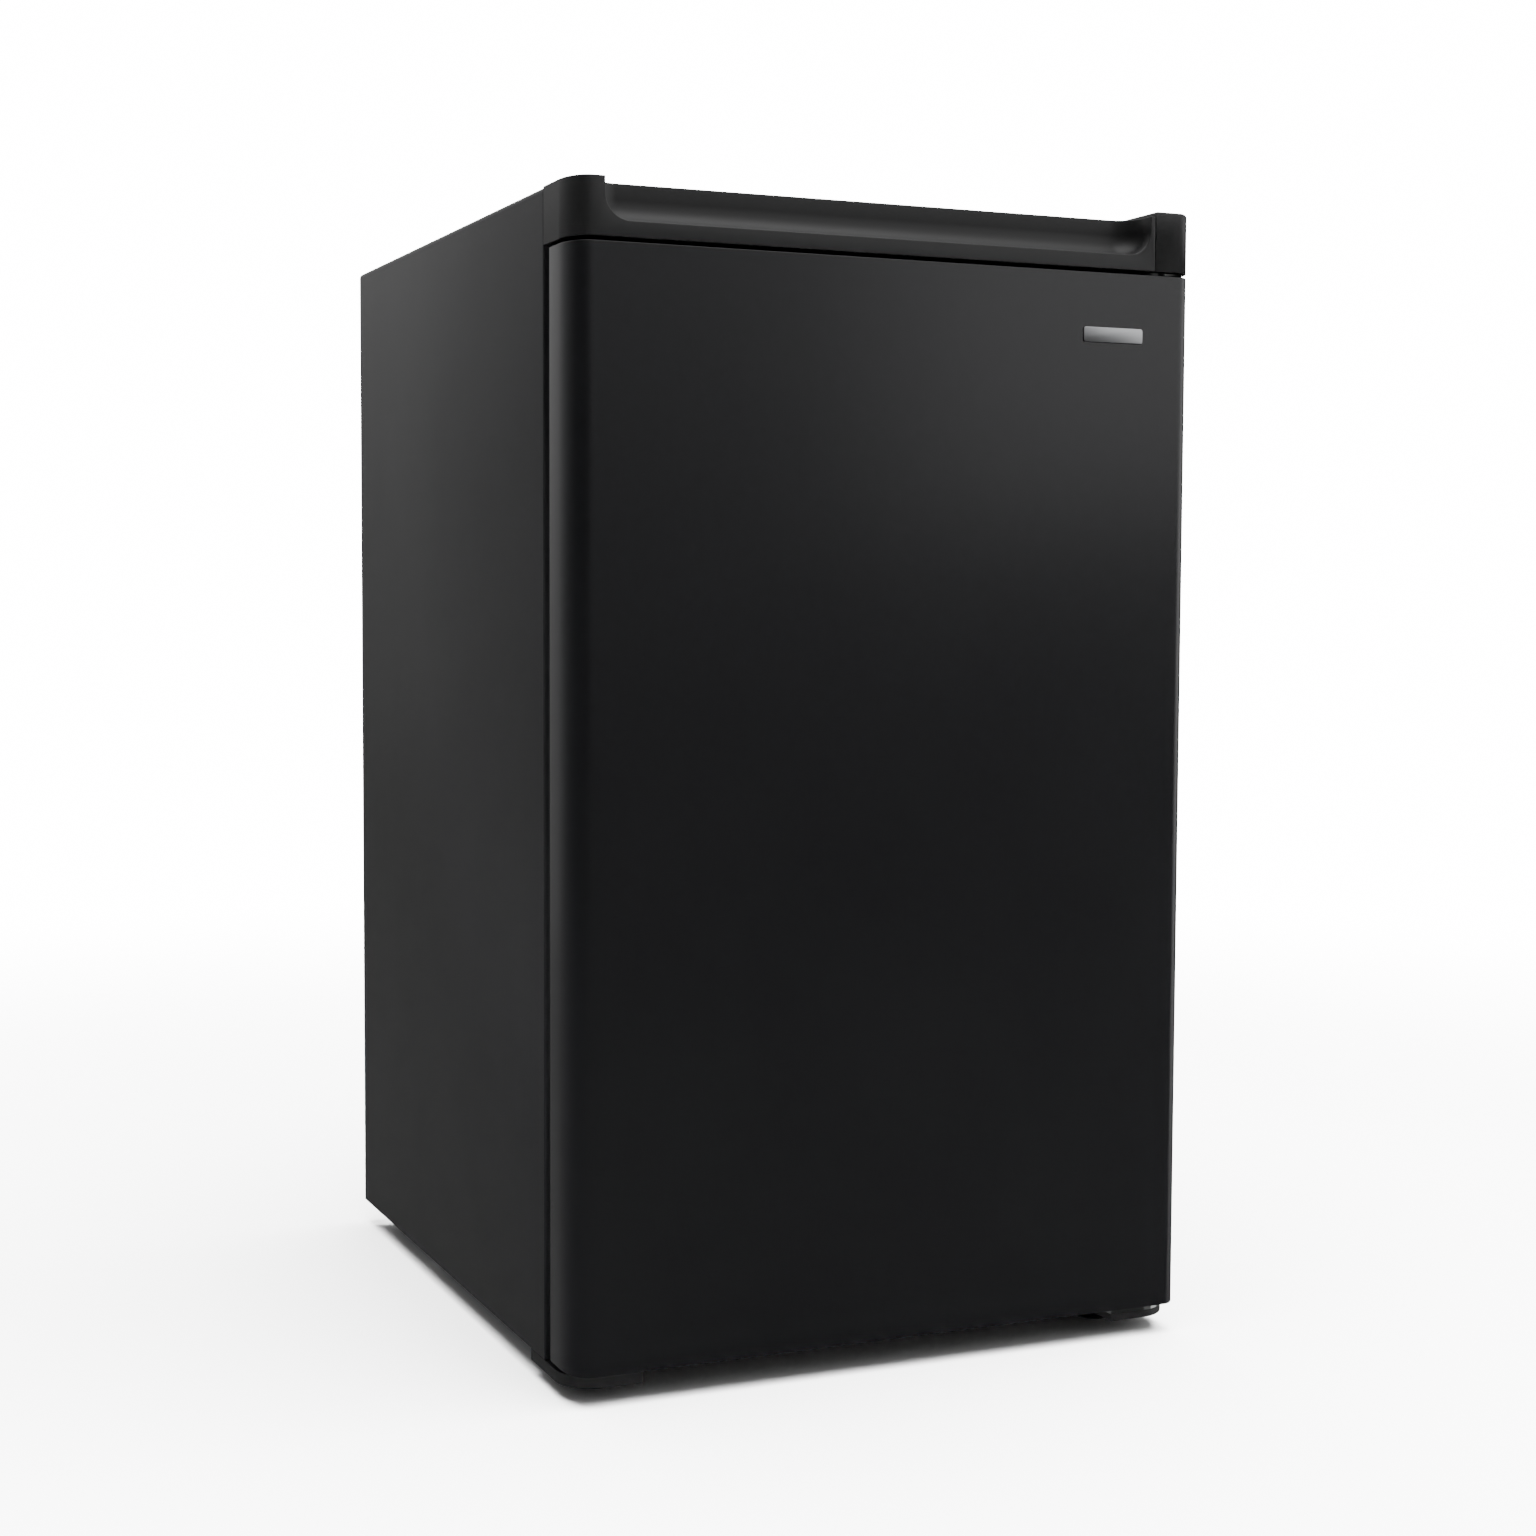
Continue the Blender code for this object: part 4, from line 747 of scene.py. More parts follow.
def front_plan(inset: float, back: float, steps: int = 20) -> list[tuple[float, float]]:
    """The plan of the door and the fascia: square at the back, with rounded front corners.

    Args:
        inset: how far in from the door's outside it runs.
        back: the y of its back.
        steps: how many facets a corner has.

    Returns:
        Pairs of x and y, once round from the right back corner.
    """
    low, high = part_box("door_panel")
    across, deep = FRONT_CORNER
    corner = (across - inset, deep - inset)
    middle = (high.x - across, low.y + deep)
    left = [(-middle[0] - corner[0] * c, middle[1] - corner[1] * s) for c, s in quarter_turn(steps)]
    right = [(-x, y) for x, y in reversed(left)]
    return [(high.x - inset, back), (-high.x + inset, back)] + left + right


@dataclass
class Fascia:
    """The moulding over the door, with its finger scoop, and the cap over the upper hinge."""

    wall: float = 2.5 * MM
    ear: float = 24 * MM
    end_wall: float = 4.5 * MM
    lip: float = 11 * MM
    scoop_depth: float = 28 * MM
    scoop_radius: float = 18 * MM
    edge: float = 0.9 * MM
    cap_edge: float = 2.6 * MM
    seam: float = 0.3 * MM

    def build(self, shop: Workshop) -> None:
        """Builds the moulding and the cap."""
        low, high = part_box("top_fascia")
        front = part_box("door_panel")[0].y
        beyond = 3 * self.scoop_radius
        bar = prism(front_plan(0.0, high.y), 2, low.z, high.z)
        scoop = block(
            (low.x + self.ear, front - beyond, low.z + self.lip),
            (high.x + self.seam - self.end_wall, front + self.scoop_depth, high.z + beyond),
            self.scoop_radius, 14
        )
        rear = block(
            (low.x + self.wall, front + self.scoop_depth + self.wall, low.z - self.wall),
            (high.x - self.wall, high.y - self.wall, high.z - self.wall)
        )
        end = block((high.x, low.y - 1, low.z - 1), (1, 1, 1))
        shape = cut(bar, scoop, end, rear)
        ease(shape, [e for e in sharp(shape, 50) if self.outside(e, high)], self.edge, 3)
        shop.show("top_fascia_moulding", shape, BLACK_ABS, "top_fascia", smooth=35)
        self.build_cap(shop)

    def outside(self, edge: bmesh.types.BMEdge, high: Vector) -> bool:
        """Whether an edge of the moulding is one that shows, and not one of its hollow back."""
        middle = (edge.verts[0].co + edge.verts[1].co) / 2
        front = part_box("door_panel")[0].y
        inside = middle.y > front + self.scoop_depth + self.wall / 2 and middle.z < high.z - self.wall / 2
        return not inside

    def build_cap(self, shop: Workshop) -> None:
        """The cap is open below and behind, where the hinge's angle fills it."""
        low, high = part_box("hinge_cover")
        shape = prism(front_plan(0.0, high.y), 2, low.z, high.z)
        bmesh.ops.bisect_plane(
            shape, geom=[*shape.verts, *shape.edges, *shape.faces], plane_co=(low.x, 0, 0),
            plane_no=(-1, 0, 0), clear_outer=True
        )
        open_edges = [e for e in shape.edges if e.is_boundary]
        bmesh.ops.edgeloop_fill(shape, edges=open_edges)
        recalc(shape)
        ease(shape, past(sharp(shape, 50), 2, high.z - PLAY), self.cap_edge, 5)
        shut = past(shape.faces, 2, low.z + PLAY, -1) + past(shape.faces, 1, high.y - PLAY)
        open_up(shape, shut)
        cap = shop.show("hinge_cap", shape, BLACK_ABS, "hinge_cover", smooth=50)
        thicken(cap, self.wall / 2, -1.0)


@dataclass
class Footing:
    """The corner shoes, the feet and the lower hinge."""

    edge: float = 0.8 * MM
    ribs: int = 4

    def build(self, shop: Workshop) -> None:
        """Builds the four feet and the two shoes, and dresses the hinge plates."""
        for side, body in (("left", Body.LEFT_FOOT), ("right", Body.RIGHT_FOOT)):
            node = f"front_foot_{side}"
            shop.show(f"levelling_foot_{side}", self.front_foot(node), BLACK_ABS, node, body)
            node = f"rear_foot_{side}"
            shop.show(f"fixed_foot_{side}", self.rear_foot(node), BLACK_ABS, node)
        self.shoe(shop, "left", -1)
        self.shoe(shop, "right", 1)
        self.pins(shop)

    def front_foot(self, node: str) -> BMesh:
        """A round pad with finger ribs on its rim, on a threaded stem."""
        low, middle, high = span(node)
        radius = (high.x - low.x) / 2
        rim = 8 * MM
        profile = [(0, 0), (radius - 2 * MM, 0), (radius - 0.8 * MM, 0.6 * MM)]
        for i in range(self.ribs):
            start = 1.2 * MM + i * 1.4 * MM
            profile += [(radius, start), (radius, start + 0.7 * MM), (radius - 0.7 * MM, start + 1.0 * MM)]
        profile += [(radius - 2 * MM, rim), (5 * MM, rim)]
        turns = int((high.z - low.z - rim) / (1.25 * MM))
        for i in range(turns):
            start = rim + i * 1.25 * MM
            profile += [(3.4 * MM, start + 0.1 * MM), (3.95 * MM, start + 0.6 * MM)]
        profile += [(3.4 * MM, high.z - low.z - 0.1 * MM), (0, high.z - low.z)]
        return lathe(profile, (middle.x, middle.y, low.z), steps=48)

    def rear_foot(self, node: str) -> BMesh:
        """A plain foot, wider at the floor."""
        low, middle, high = span(node)
        radius = (high.x - low.x) / 2
        tall = high.z - low.z
        profile = [(0, 0), (radius - MM, 0), (radius, MM), (radius, 4 * MM)]
        profile += [(radius - 4 * MM, tall - MM), (radius - 5 * MM, tall), (0, tall)]
        return lathe(profile, (middle.x, middle.y, low.z), steps=48)

    def shoe(self, shop: Workshop, side: str, sign: int) -> None:
        """A shoe whose outer front corner is rounded in plan."""
        node = f"corner_shoe_{side}"
        low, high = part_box(node)
        corner = FRONT_CORNER[1]
        outer, inner = (high.x, low.x) if sign > 0 else (low.x, high.x)
        plan = [(inner, high.y), (inner, low.y)]
        for c, s in quarter_turn(16):
            plan.append((outer - sign * corner * (1 - s), low.y + corner * (1 - c)))
        plan.append((outer, high.y))
        foot_low, foot_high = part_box(f"front_foot_{side}")
        foot = (foot_low + foot_high) / 2
        holes = [rod((foot.x, foot.y, 0), (foot.x, foot.y, 2 * high.z), 4.1 * MM)]
        if side == "right":
            pin_low, pin_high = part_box("bottom_hinge_pin")
            pin = (pin_low + pin_high) / 2
            holes.append(rod((pin.x, pin.y, 0), (pin.x, pin.y, 2 * high.z), 5.5 * MM))
        shape = prism(plan, 2, low.z, high.z)
        ease(shape, past(sharp(shape), 2, low.z + MM, -1), self.edge, 3)
        shop.show(f"shoe_{side}", cut(shape, *holes), BLACK_ABS, node)

    def pins(self, shop: Workshop) -> None:
        """The hinge pins, their plates and the screws that hold the upper one."""
        shop.dress(
            BRIGHT_ZINC, "top_hinge_plate", "top_hinge_pin", "bottom_hinge_plate", "bottom_hinge_pin"
        )
        low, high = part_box("top_hinge_plate")
        middle = (low.x + high.x) / 2
        seats = [
            (middle + sign * 8 * MM, high.y - 3.1 * MM, (low.z + high.z) / 2 + 4 * MM) for sign in (-1, 1)
        ]
        shop.show("hinge_screws", pan_heads(seats, (0, -1, 0), 3 * MM), BRIGHT_ZINC)


# Door


@dataclass
class Door:
    """The door's skin, caps, seal, liner, racks and bars."""

    sheet: float = 0.6 * MM
    hem: float = 0.8 * MM
    lip: float = 16 * MM
    liner: float = 1.5 * MM
    plug_fillet: float = 8 * MM
    base_fillet: float = 3 * MM
    plug_corner: float = 14 * MM

    def build(self, shop: Workshop) -> None:
        """Builds every piece of the door."""
        self.skin(shop)
        self.gasket(shop)
        self.inner_panel(shop)
        self.racks(shop)
        self.badge(shop)
        shop.dress(BLACK_ABS, "door_cap_top", "door_cap_bottom")
        shop.dress(POLYAMIDE, "hinge_bush_top", "hinge_bush_bottom")

    def skin_plan(self, inset: float, z: float) -> list[Vector]:
        """The skin's open plan at one height, from the left lip round the front to the right lip."""
        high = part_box("door_panel")[1]
        front = front_plan(inset, high.y)[2:]
        side = high.x - inset
        back = [(side - self.hem * (1 - c), high.y - self.hem * (1 - s)) for c, s in quarter_turn(4)]
        right = back + [(high.x - self.lip, high.y)]
        left = [(-x, y) for x, y in reversed(right)]
        return [Vector((x, y, z)) for x, y in left + front + right]

    def skin(self, shop: Workshop) -> None:
        """One steel sheet round the front and the sides, its upper and lower edges turned over."""
        low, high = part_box("door_panel")
        turned = [(self.hem * (1 - s), self.hem * (1 - c)) for c, s in quarter_turn(4)]
        loops = [self.skin_plan(inset, low.z + rise) for inset, rise in turned]
        loops += [self.skin_plan(inset, high.z - rise) for inset, rise in reversed(turned)]
        skin = shop.show("door_skin", loft(loops, closed=False), DOOR_ENAMEL, "door_panel", Body.DOOR, 50)
        thicken(skin, self.sheet, -1.0)
        for end, sign in (("top", 1), ("bottom", -1)):
            cap_low, cap_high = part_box(f"door_cap_{end}")
            edge = cap_low.z if sign > 0 else cap_high.z
            stop = edge - sign * 14 * MM
            corner = (low.x + self.lip, high.y - self.sheet, edge)
            strip = block(corner, (high.x - self.lip, high.y, stop), 0.2 * MM, 2)
            shop.show(f"cap_lip_{end}", strip, BLACK_ABS, body=Body.DOOR)

    def gasket(self, shop: Workshop) -> None:
        """The seal: a foot in the liner's rim, a bellows and the bulb that holds the magnet."""
        low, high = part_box("door_gasket")
        wide = 15.5 * MM
        near, far = low.y, high.y
        profile = [
            (0, near), (0, near + 1.2 * MM), (2.2 * MM, near + 2.0 * MM), (1.4 * MM, near + 3.4 * MM),
            (2.6 * MM, near + 4.6 * MM), (0.5 * MM, far - 3.4 * MM), (0, far - 2.4 * MM),
            (0.5 * MM, far - 0.5 * MM), (1.8 * MM, far), (wide - 3 * MM, far),
            (wide - 1.2 * MM, far - 0.6 * MM), (wide, far - 2.4 * MM), (wide - 1.5 * MM, far - 3.6 * MM),
            (wide - 0.6 * MM, near + 3.6 * MM), (wide - 2.2 * MM, near + 2.2 * MM), (wide, near + 1.2 * MM),
            (wide, near)
        ]
        loops = [rounded_loop(low, high, 1, y, 4 * MM, inset, 5) for inset, y in profile]
        seal = loft(loops, ring=True)
        shop.show("magnetic_seal", seal, GASKET_PVC, "door_gasket", Body.DOOR, 60)

    def inner_panel(self, shop: Workshop) -> None:
        """The white inside of the door: a rim with a raised middle, formed from one sheet."""
        low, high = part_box("door_liner")
        rim = low.y + self.liner
        plug = 200 * MM
        inset = high.x - plug
        rise = high.y - rim
        loops = [rounded_loop(low, high, 1, low.y, 3 * MM, 0.0)]
        loops.append(rounded_loop(low, high, 1, rim - MM / 2, 3 * MM, 0.0))
        loops.append(rounded_loop(low, high, 1, rim, 3 * MM, MM / 2))
        small, large = self.base_fillet, self.plug_fillet
        bend = self.plug_corner + inset
        for c, s in quarter_turn(4):
            loops.append(rounded_loop(low, high, 1, rim + small * (1 - c), bend, inset - small * (1 - s)))
        for c, s in quarter_turn(6):
            loops.append(
                rounded_loop(low, high, 1, rim + rise - large * (1 - s), bend, inset + large * (1 - c))
            )
        shape = loft(loops)
        last = [e for e in past(shape.edges, 1, high.y - PLAY) if e.is_boundary]
        bmesh.ops.edgeloop_fill(shape, edges=last)
        recalc(shape)
        if max(shape.faces, key=lambda f: f.calc_area()).normal.y < 0:
            bmesh.ops.reverse_faces(shape, faces=shape.faces)
        panel = shop.show("door_inner_panel", shape, WHITE_LINER, "door_liner", Body.DOOR, 50)
        thicken(panel, self.liner * 0.7, -1.0)
        self.foam(shop, plug)

    def foam(self, shop: Workshop, plug: float) -> None:
        """The foam that fills the skin and the raised middle of the inner panel."""
        low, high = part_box("door_foam")
        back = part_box("door_panel")[1].y - 0.9 * MM
        filling = prism(front_plan(0.95 * MM, back), 2, low.z, high.z)
        gap = 3 * MM
        half = plug - gap
        panel_low, panel_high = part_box("door_liner")
        inset = panel_high.x - plug + gap
        raised = slab(
            (-half, back - gap, panel_low.z + inset), (half, high.y - MM, panel_high.z - inset), 12 * MM, 6,
            Edges.ALONG_Y, 8 * MM, 4
        )
        shop.show("door_fill", joined(filling, raised), FOAM, "door_foam", Body.DOOR)

    def racks(self, shop: Workshop) -> None:
        """The racks, the bosses that hold them and the bottle bars."""
        bosses = []
        for level in ("bottom", "middle", "top"):
            node = f"door_rack_{level}"
            low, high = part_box(node)
            tub = Tub(wall=2.2 * MM, corner=7 * MM, foot=4 * MM)
            shop.show(f"rack_{level}", tub.shape(low, high), CLEAR_PLASTIC, node, Body.DOOR)
            tall = min(high.z - low.z, 40 * MM)
            for sign in (-1, 1):
                inner = sign * (high.x + 0.5 * MM)
                outer = sign * (high.x + 9 * MM)
                start = (inner, low.y - MM, low.z + 2 * MM)
                bosses.append(block(start, (outer, low.y + 30 * MM, low.z + tall), 3 * MM))
        shop.show("rack_bosses", joined(*bosses), WHITE_LINER, body=Body.DOOR)
        for level in ("bottom", "middle"):
            self.bar(shop, f"door_bar_{level}", f"bottle_bar_{level}")

    def bar(self, shop: Workshop, node: str, name: str) -> None:
        """A bent chrome wire with a round foot at each end."""
        low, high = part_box(node)
        radius = (high.z - low.z) / 2
        z = (low.z + high.z) / 2
        left, right, front = low.x + radius, high.x - radius, high.y - radius
        path = bent([(left, low.y, z), (left, front, z), (right, front, z), (right, low.y, z)], 12 * MM)
        shop.show(name, tube(name, path, radius), CHROME, node, Body.DOOR)
        profile = [(radius, 2.4 * MM), (4.4 * MM, 2.0 * MM), (5 * MM, MM), (5 * MM, 0)]
        feet = [lathe(profile, (x, low.y, z), (0, 1, 0), 24) for x in (left, right)]
        shop.show(f"{name}_feet", joined(*feet), WHITE_FITTING, body=Body.DOOR)

    def badge(self, shop: Workshop) -> None:
        """A plain plate with rounded corners."""
        low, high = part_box("badge_plate")
        shape = block(low, high, 2 * MM, 5, Edges.ALONG_Y)
        ease(shape, past(sharp(shape, 60), 1, low.y + PLAY, -1), 0.2 * MM, 2)
        shop.show("plain_badge", shape, BADGE_METAL, "badge_plate", Body.DOOR)


@dataclass
class Tub:
    """An open moulded box with rounded corners: a tray, a drawer or a rack."""

    wall: float
    corner: float
    foot: float

    def shape(self, low: Place, high: Place) -> BMesh:
        """Builds the box between two corners."""
        rim = self.wall / 2
        inner = max(self.foot - self.wall / 2, MM)
        tall, base = high[2], low[2]
        loops = []
        for c, s in quarter_turn(4):
            loops.append((self.foot * (1 - s), base + self.foot * (1 - c)))
        for c, s in quarter_turn(3):
            loops.append((rim * (1 - c), tall - rim * (1 - s)))
        for c, s in quarter_turn(3):
            loops.append((rim + rim * s, tall - rim * (1 - c)))
        for c, s in quarter_turn(4):
            loops.append((self.wall + inner * (1 - c), base + self.wall + inner * (1 - s)))
        rings = [rounded_loop(low, high, 2, z, self.corner, inset) for inset, z in loops]
        shape = loft(rings, ends=True)
        bmesh.ops.remove_doubles(shape, verts=shape.verts, dist=MM / 100)
        return recalc(shape)


# Inside


@dataclass
class Room:
    """The white inside of the cabinet and what it holds."""

    liner: float = 1.5 * MM
    corner: float = 12 * MM
    lip: float = 7.7 * MM
    fit: float = 0.3 * MM

    def build(self, shop: Workshop) -> None:
        """Builds the liner, its ledges, the shelves, the ice box, the trays and the thermostat."""
        self.shell(shop)
        self.ledges(shop)
        self.shelves(shop)
        self.ice_box(shop)
        self.flap(shop)
        self.trays(shop)
        self.thermostat(shop)

    def corners(self) -> tuple[Vector, Vector]:
        """The lowest and highest corners of the room inside the liner."""
        low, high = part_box("inner_liner")
        edge = Vector((self.lip, -self.liner, self.lip))
        back = Vector((self.lip, self.liner, self.lip))
        return low + edge, high - back

    def shell(self, shop: Workshop) -> None:
        """The liner: a room with a step over the compressor, and a lip round its mouth."""
        low, high = self.corners()
        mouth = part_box("inner_liner")[0].y + self.liner / 2
        step_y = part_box("crisper_drawer")[1].y + 6 * MM
        step_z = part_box("shelf_glass_crisper")[0].z - 2 * MM - self.fit
        outline = [
            (mouth, low.z), (step_y, low.z), (step_y, step_z), (high.y, step_z), (high.y, high.z),
            (mouth, high.z)
        ]
        shape = prism(outline, 0, low.x, high.x)
        deep = [e for e in shape.edges if max(v.co.y for v in e.verts) > mouth + MM]
        ease(shape, deep, self.corner, 6)
        open_up(shape, past(shape.faces, 1, mouth + PLAY, -1))
        room = shop.show("room_liner", shape, WHITE_LINER, "inner_liner", smooth=50)
        thicken(room, self.liner * 0.7, 1.0)
        outer_low, outer_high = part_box("inner_liner")
        start = outer_low.y
        rings = [
            (0.0, start + self.liner), (0.0, start + MM / 2), (MM / 2, start), (self.lip - MM, start),
            (self.lip - 0.2 * MM, start + MM / 3), (self.lip, start + MM), (self.lip, start + self.liner)
        ]
        loops = []
        for inset, y in rings:
            bend = self.corner if inset > self.lip / 2 else MM
            loops.append(rounded_loop(outer_low, outer_high, 1, y, bend + inset, inset))
        shop.show("liner_lip", loft(loops, ring=True), WHITE_LINER, smooth=60)

    def ledges(self, shop: Workshop) -> None:
        """The ribs on the side walls that the shelves and the tray rest on."""
        low, high = self.corners()
        levels = [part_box(f"shelf_glass_{n}")[0].z for n in ("crisper", "lower", "upper")]
        levels.append(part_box("drip_tray")[0].z)
        levels.append((levels[1] + levels[2]) / 2)
        ribs = []
        for level in levels:
            top = level - self.fit
            on_step = level == levels[0]
            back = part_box("crisper_drawer")[1].y + 5 * MM if on_step else high.y - 14 * MM
            for sign in (-1, 1):
                wall = sign * (high.x + MM)
                edge = sign * (high.x - 8 * MM)
                start = (wall, low.y + 21 * MM, top - 5 * MM)
                ribs.append(block(start, (edge, back, top), 1.6 * MM))
        shop.show("shelf_ribs", joined(*ribs), WHITE_LINER)

    def shelves(self, shop: Workshop) -> None:
        """Glass shelves with their arrises taken off, and the moulded trims along their fronts."""
        for level in ("upper", "lower", "crisper"):
            node = f"shelf_glass_{level}"
            low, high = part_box(node)
            pane = slab(low, high, 8 * MM, 6, Edges.ALONG_Z, 0.5 * MM)
            shop.show(f"glass_{level}", pane, SHELF_GLASS, node)
            node = f"shelf_trim_{level}"
            low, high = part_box(node)
            shape = slab(low, high, 3 * MM, 5, Edges.ALONG_X, 0.8 * MM, 3)
            shop.show(f"trim_{level}", shape, WHITE_FITTING, node)

    def ice_box(self, shop: Workshop) -> None:
        """The folded aluminium evaporator with its raised channels, and the frame round its mouth."""
        low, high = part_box("evaporator")
        shape = block(low, high, 10 * MM, 8, Edges.ALONG_Y)
        open_up(shape, past(shape.faces, 1, low.y + PLAY, -1))
        sleeve = shop.show("ice_box_sleeve", shape, ALUMINIUM, "evaporator", smooth=40)
        thicken(sleeve, 1.5 * MM, -1.0)
        channels = tube("ice_box_channels", self.channel(low, high, low.y + 25 * MM), 2.6 * MM, True)
        rows = 6
        for row in range(1, rows):
            y = low.y + 25 * MM + row * (high.y - low.y - 50 * MM) / (rows - 1)
            add_spline(channels.data, self.channel(low, high, y), True)
        shop.show("ice_box_channels", channels, ALUMINIUM)
        shop.dress(WHITE_FITTING, "evaporator_hanger")
        low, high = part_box("freezer_frame")
        rings = [(1.2 * MM, low.y), (0, low.y + 1.2 * MM), (0, high.y), (16 * MM, high.y)]
        rings += [(16 * MM, low.y + MM), (15 * MM, low.y)]
        loops = [rounded_loop(low, high, 1, y, 7 * MM + inset * 0.9, inset) for inset, y in rings]
        shop.show("ice_box_frame", loft(loops, ring=True), WHITE_FITTING, "freezer_frame")

    def channel(self, low: Vector, high: Vector, y: float) -> list[Vector]:
        """One refrigerant channel once round the sleeve, bulging a little inside it."""
        return rounded_loop(low, high, 1, y, 10 * MM, 2.2 * MM)

    def flap(self, shop: Workshop) -> None:
        """The clear flap of the ice box, with its ribs, its finger grip and its pins."""
        low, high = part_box("freezer_flap")
        pin = 5.0 * MM
        grip = 10 * MM
        axis = next(j for j in shop.frame["joints"] if j["name"] == "ice_flap_hinge")["pos_m"]
        pane_low = Vector((low.x + pin, low.y + grip, low.z))
        pane_high = Vector((high.x - pin, high.y, high.z))
        pane = block(pane_low, pane_high, 2.4 * MM, 4)
        shapes = [pane]
        for part in (0.3, 0.5, 0.7):
            z = low.z + part * (high.z - low.z)
            start = (low.x + 24 * MM, low.y + grip - 1.2 * MM, z)
            shapes.append(block(start, (high.x - 24 * MM, low.y + grip + MM, z + 3 * MM), MM, 3))
        shapes.append(
            block(
                (-35 * MM, low.y, low.z + 4 * MM), (35 * MM, low.y + grip + MM, low.z + 9 * MM), 2 * MM, 4
            )
        )
        for sign in (-1, 1):
            start = (sign * (high.x - pin - MM), axis[1], axis[2])
            shapes.append(rod(start, (sign * high.x, axis[1], axis[2]), 2 * MM, 20))
        shop.show("ice_box_flap", joined(*shapes), CLEAR_PLASTIC, "freezer_flap", Body.FLAP)

    def trays(self, shop: Workshop) -> None:
        """The drip tray and the crisper drawer, each with a grip at the front."""
        low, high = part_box("drip_tray")
        start = Vector((low.x, low.y + 8 * MM, low.z))
        tray = Tub(wall=2 * MM, corner=6 * MM, foot=4 * MM).shape(start, high)
        grip = block((-50 * MM, low.y, high.z - 6 * MM), (50 * MM, start.y + MM, high.z - 3 * MM), MM, 4)
        shop.show("melt_tray", joined(tray, grip), CLEAR_PLASTIC, "drip_tray", Body.TRAY)
        low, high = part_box("crisper_drawer")
        start = Vector((low.x, low.y + 10 * MM, low.z))
        drawer = Tub(wall=2.2 * MM, corner=9 * MM, foot=6 * MM).shape(start, high)
        shapes = [
            drawer,
            block((-60 * MM, low.y, high.z - 8 * MM), (60 * MM, start.y + MM, high.z - 3 * MM), 2 * MM, 4)
        ]
        for part in (0.25, 0.5):
            z = low.z + part * (high.z - low.z)
            shapes.append(
                block(
                    (low.x + 20 * MM, start.y - 1.2 * MM, z), (high.x - 20 * MM, start.y + MM, z + 3 * MM),
                    MM, 3
                )
            )
        shop.show("vegetable_drawer", joined(*shapes), CLEAR_PLASTIC, "crisper_drawer", Body.CRISPER)

    def thermostat(self, shop: Workshop) -> None:
        """The housing on the right wall, its vents, its dial and its knob."""
        low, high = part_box("thermostat_housing")
        shape = block(low, high, 6 * MM, 6)
        middle = (low + high) / 2
        slots = []
        for i in range(5):
            y = low.y + 6 * MM + i * 4 * MM
            slots.append(
                block((low.x - MM, y, middle.z - 16 * MM), (low.x + 4 * MM, y + 2 * MM, middle.z + 16 * MM))
            )
        hole = rod((low.x - MM, middle.y, middle.z), (low.x + 10 * MM, middle.y, middle.z), 3.1 * MM)
        housing = cut(shape, *slots, hole)
        shop.show("thermostat_box", housing, WHITE_FITTING, "thermostat_housing")
        self.dial(shop, low.x, middle)
        self.knob(shop)

    def dial(self, shop: Workshop, face: float, middle: Vector) -> None:
        """The numbers 1 to 7 round the knob."""
        shapes = []
        for number in range(1, 8):
            angle = math.radians(225 - (number - 1) * 45)
            text = bpy.data.curves.new("number", "FONT")
            text.body = str(number)
            text.size = 6 * MM
            text.align_x = "CENTER"
            text.align_y = "CENTER"
            text.extrude = 0.1 * MM
            letter = bpy.data.objects.new("number", text)
            link(letter)
            graph = bpy.context.evaluated_depsgraph_get()
            mesh = bpy.data.meshes.new_from_object(letter.evaluated_get(graph))
            shape = bmesh.new()
            shape.from_mesh(mesh)
            bpy.data.meshes.remove(mesh)
            bpy.data.objects.remove(letter, do_unlink=True)
            turn = Matrix(((0, 0, -1), (-1, 0, 0), (0, 1, 0))).to_4x4()
            place = (
                face - 0.05 * MM, middle.y - 22 * MM * math.cos(angle), middle.z + 22 * MM * math.sin(angle)
            )
            bmesh.ops.transform(shape, matrix=Matrix.Translation(place) @ turn, verts=shape.verts)
            shapes.append(shape)
        shop.show("dial_numbers", joined(*shapes), BLACK_ABS)

    def knob(self, shop: Workshop) -> None:
        """A round knob with a raised bar across it."""
        low, middle, high = span("thermostat_knob")
        face = high.x - 8 * MM
        radius = (high.y - low.y) / 2
        deep = face - low.x
        profile = [(0, deep * 0.5), (radius - 3 * MM, deep * 0.5), (radius - MM, deep * 0.45)]
        profile += [
            (radius, deep * 0.3), (radius, self.fit), (3 * MM, self.fit), (3 * MM, -8 * MM), (0, -8 * MM)
        ]
        disc = lathe(profile, (face, middle.y, middle.z), (-1, 0, 0), 64)
        bar = block(
            (low.x, middle.y - 4 * MM, middle.z - radius + 2.4 * MM),
            (face - deep * 0.4, middle.y + 4 * MM, middle.z + radius - 2.4 * MM), 2.4 * MM, 5
        )
        shop.show("knob", joined(disc, bar), WHITE_FITTING, "thermostat_knob", Body.KNOB)
        mark = block(
            (low.x - 0.05 * MM, middle.y - 0.6 * MM, middle.z + 4 * MM),
            (low.x + MM / 2, middle.y + 0.6 * MM, middle.z + radius - 5 * MM)
        )
        shop.show("knob_mark", mark, BLACK_ABS, body=Body.KNOB)


# Back


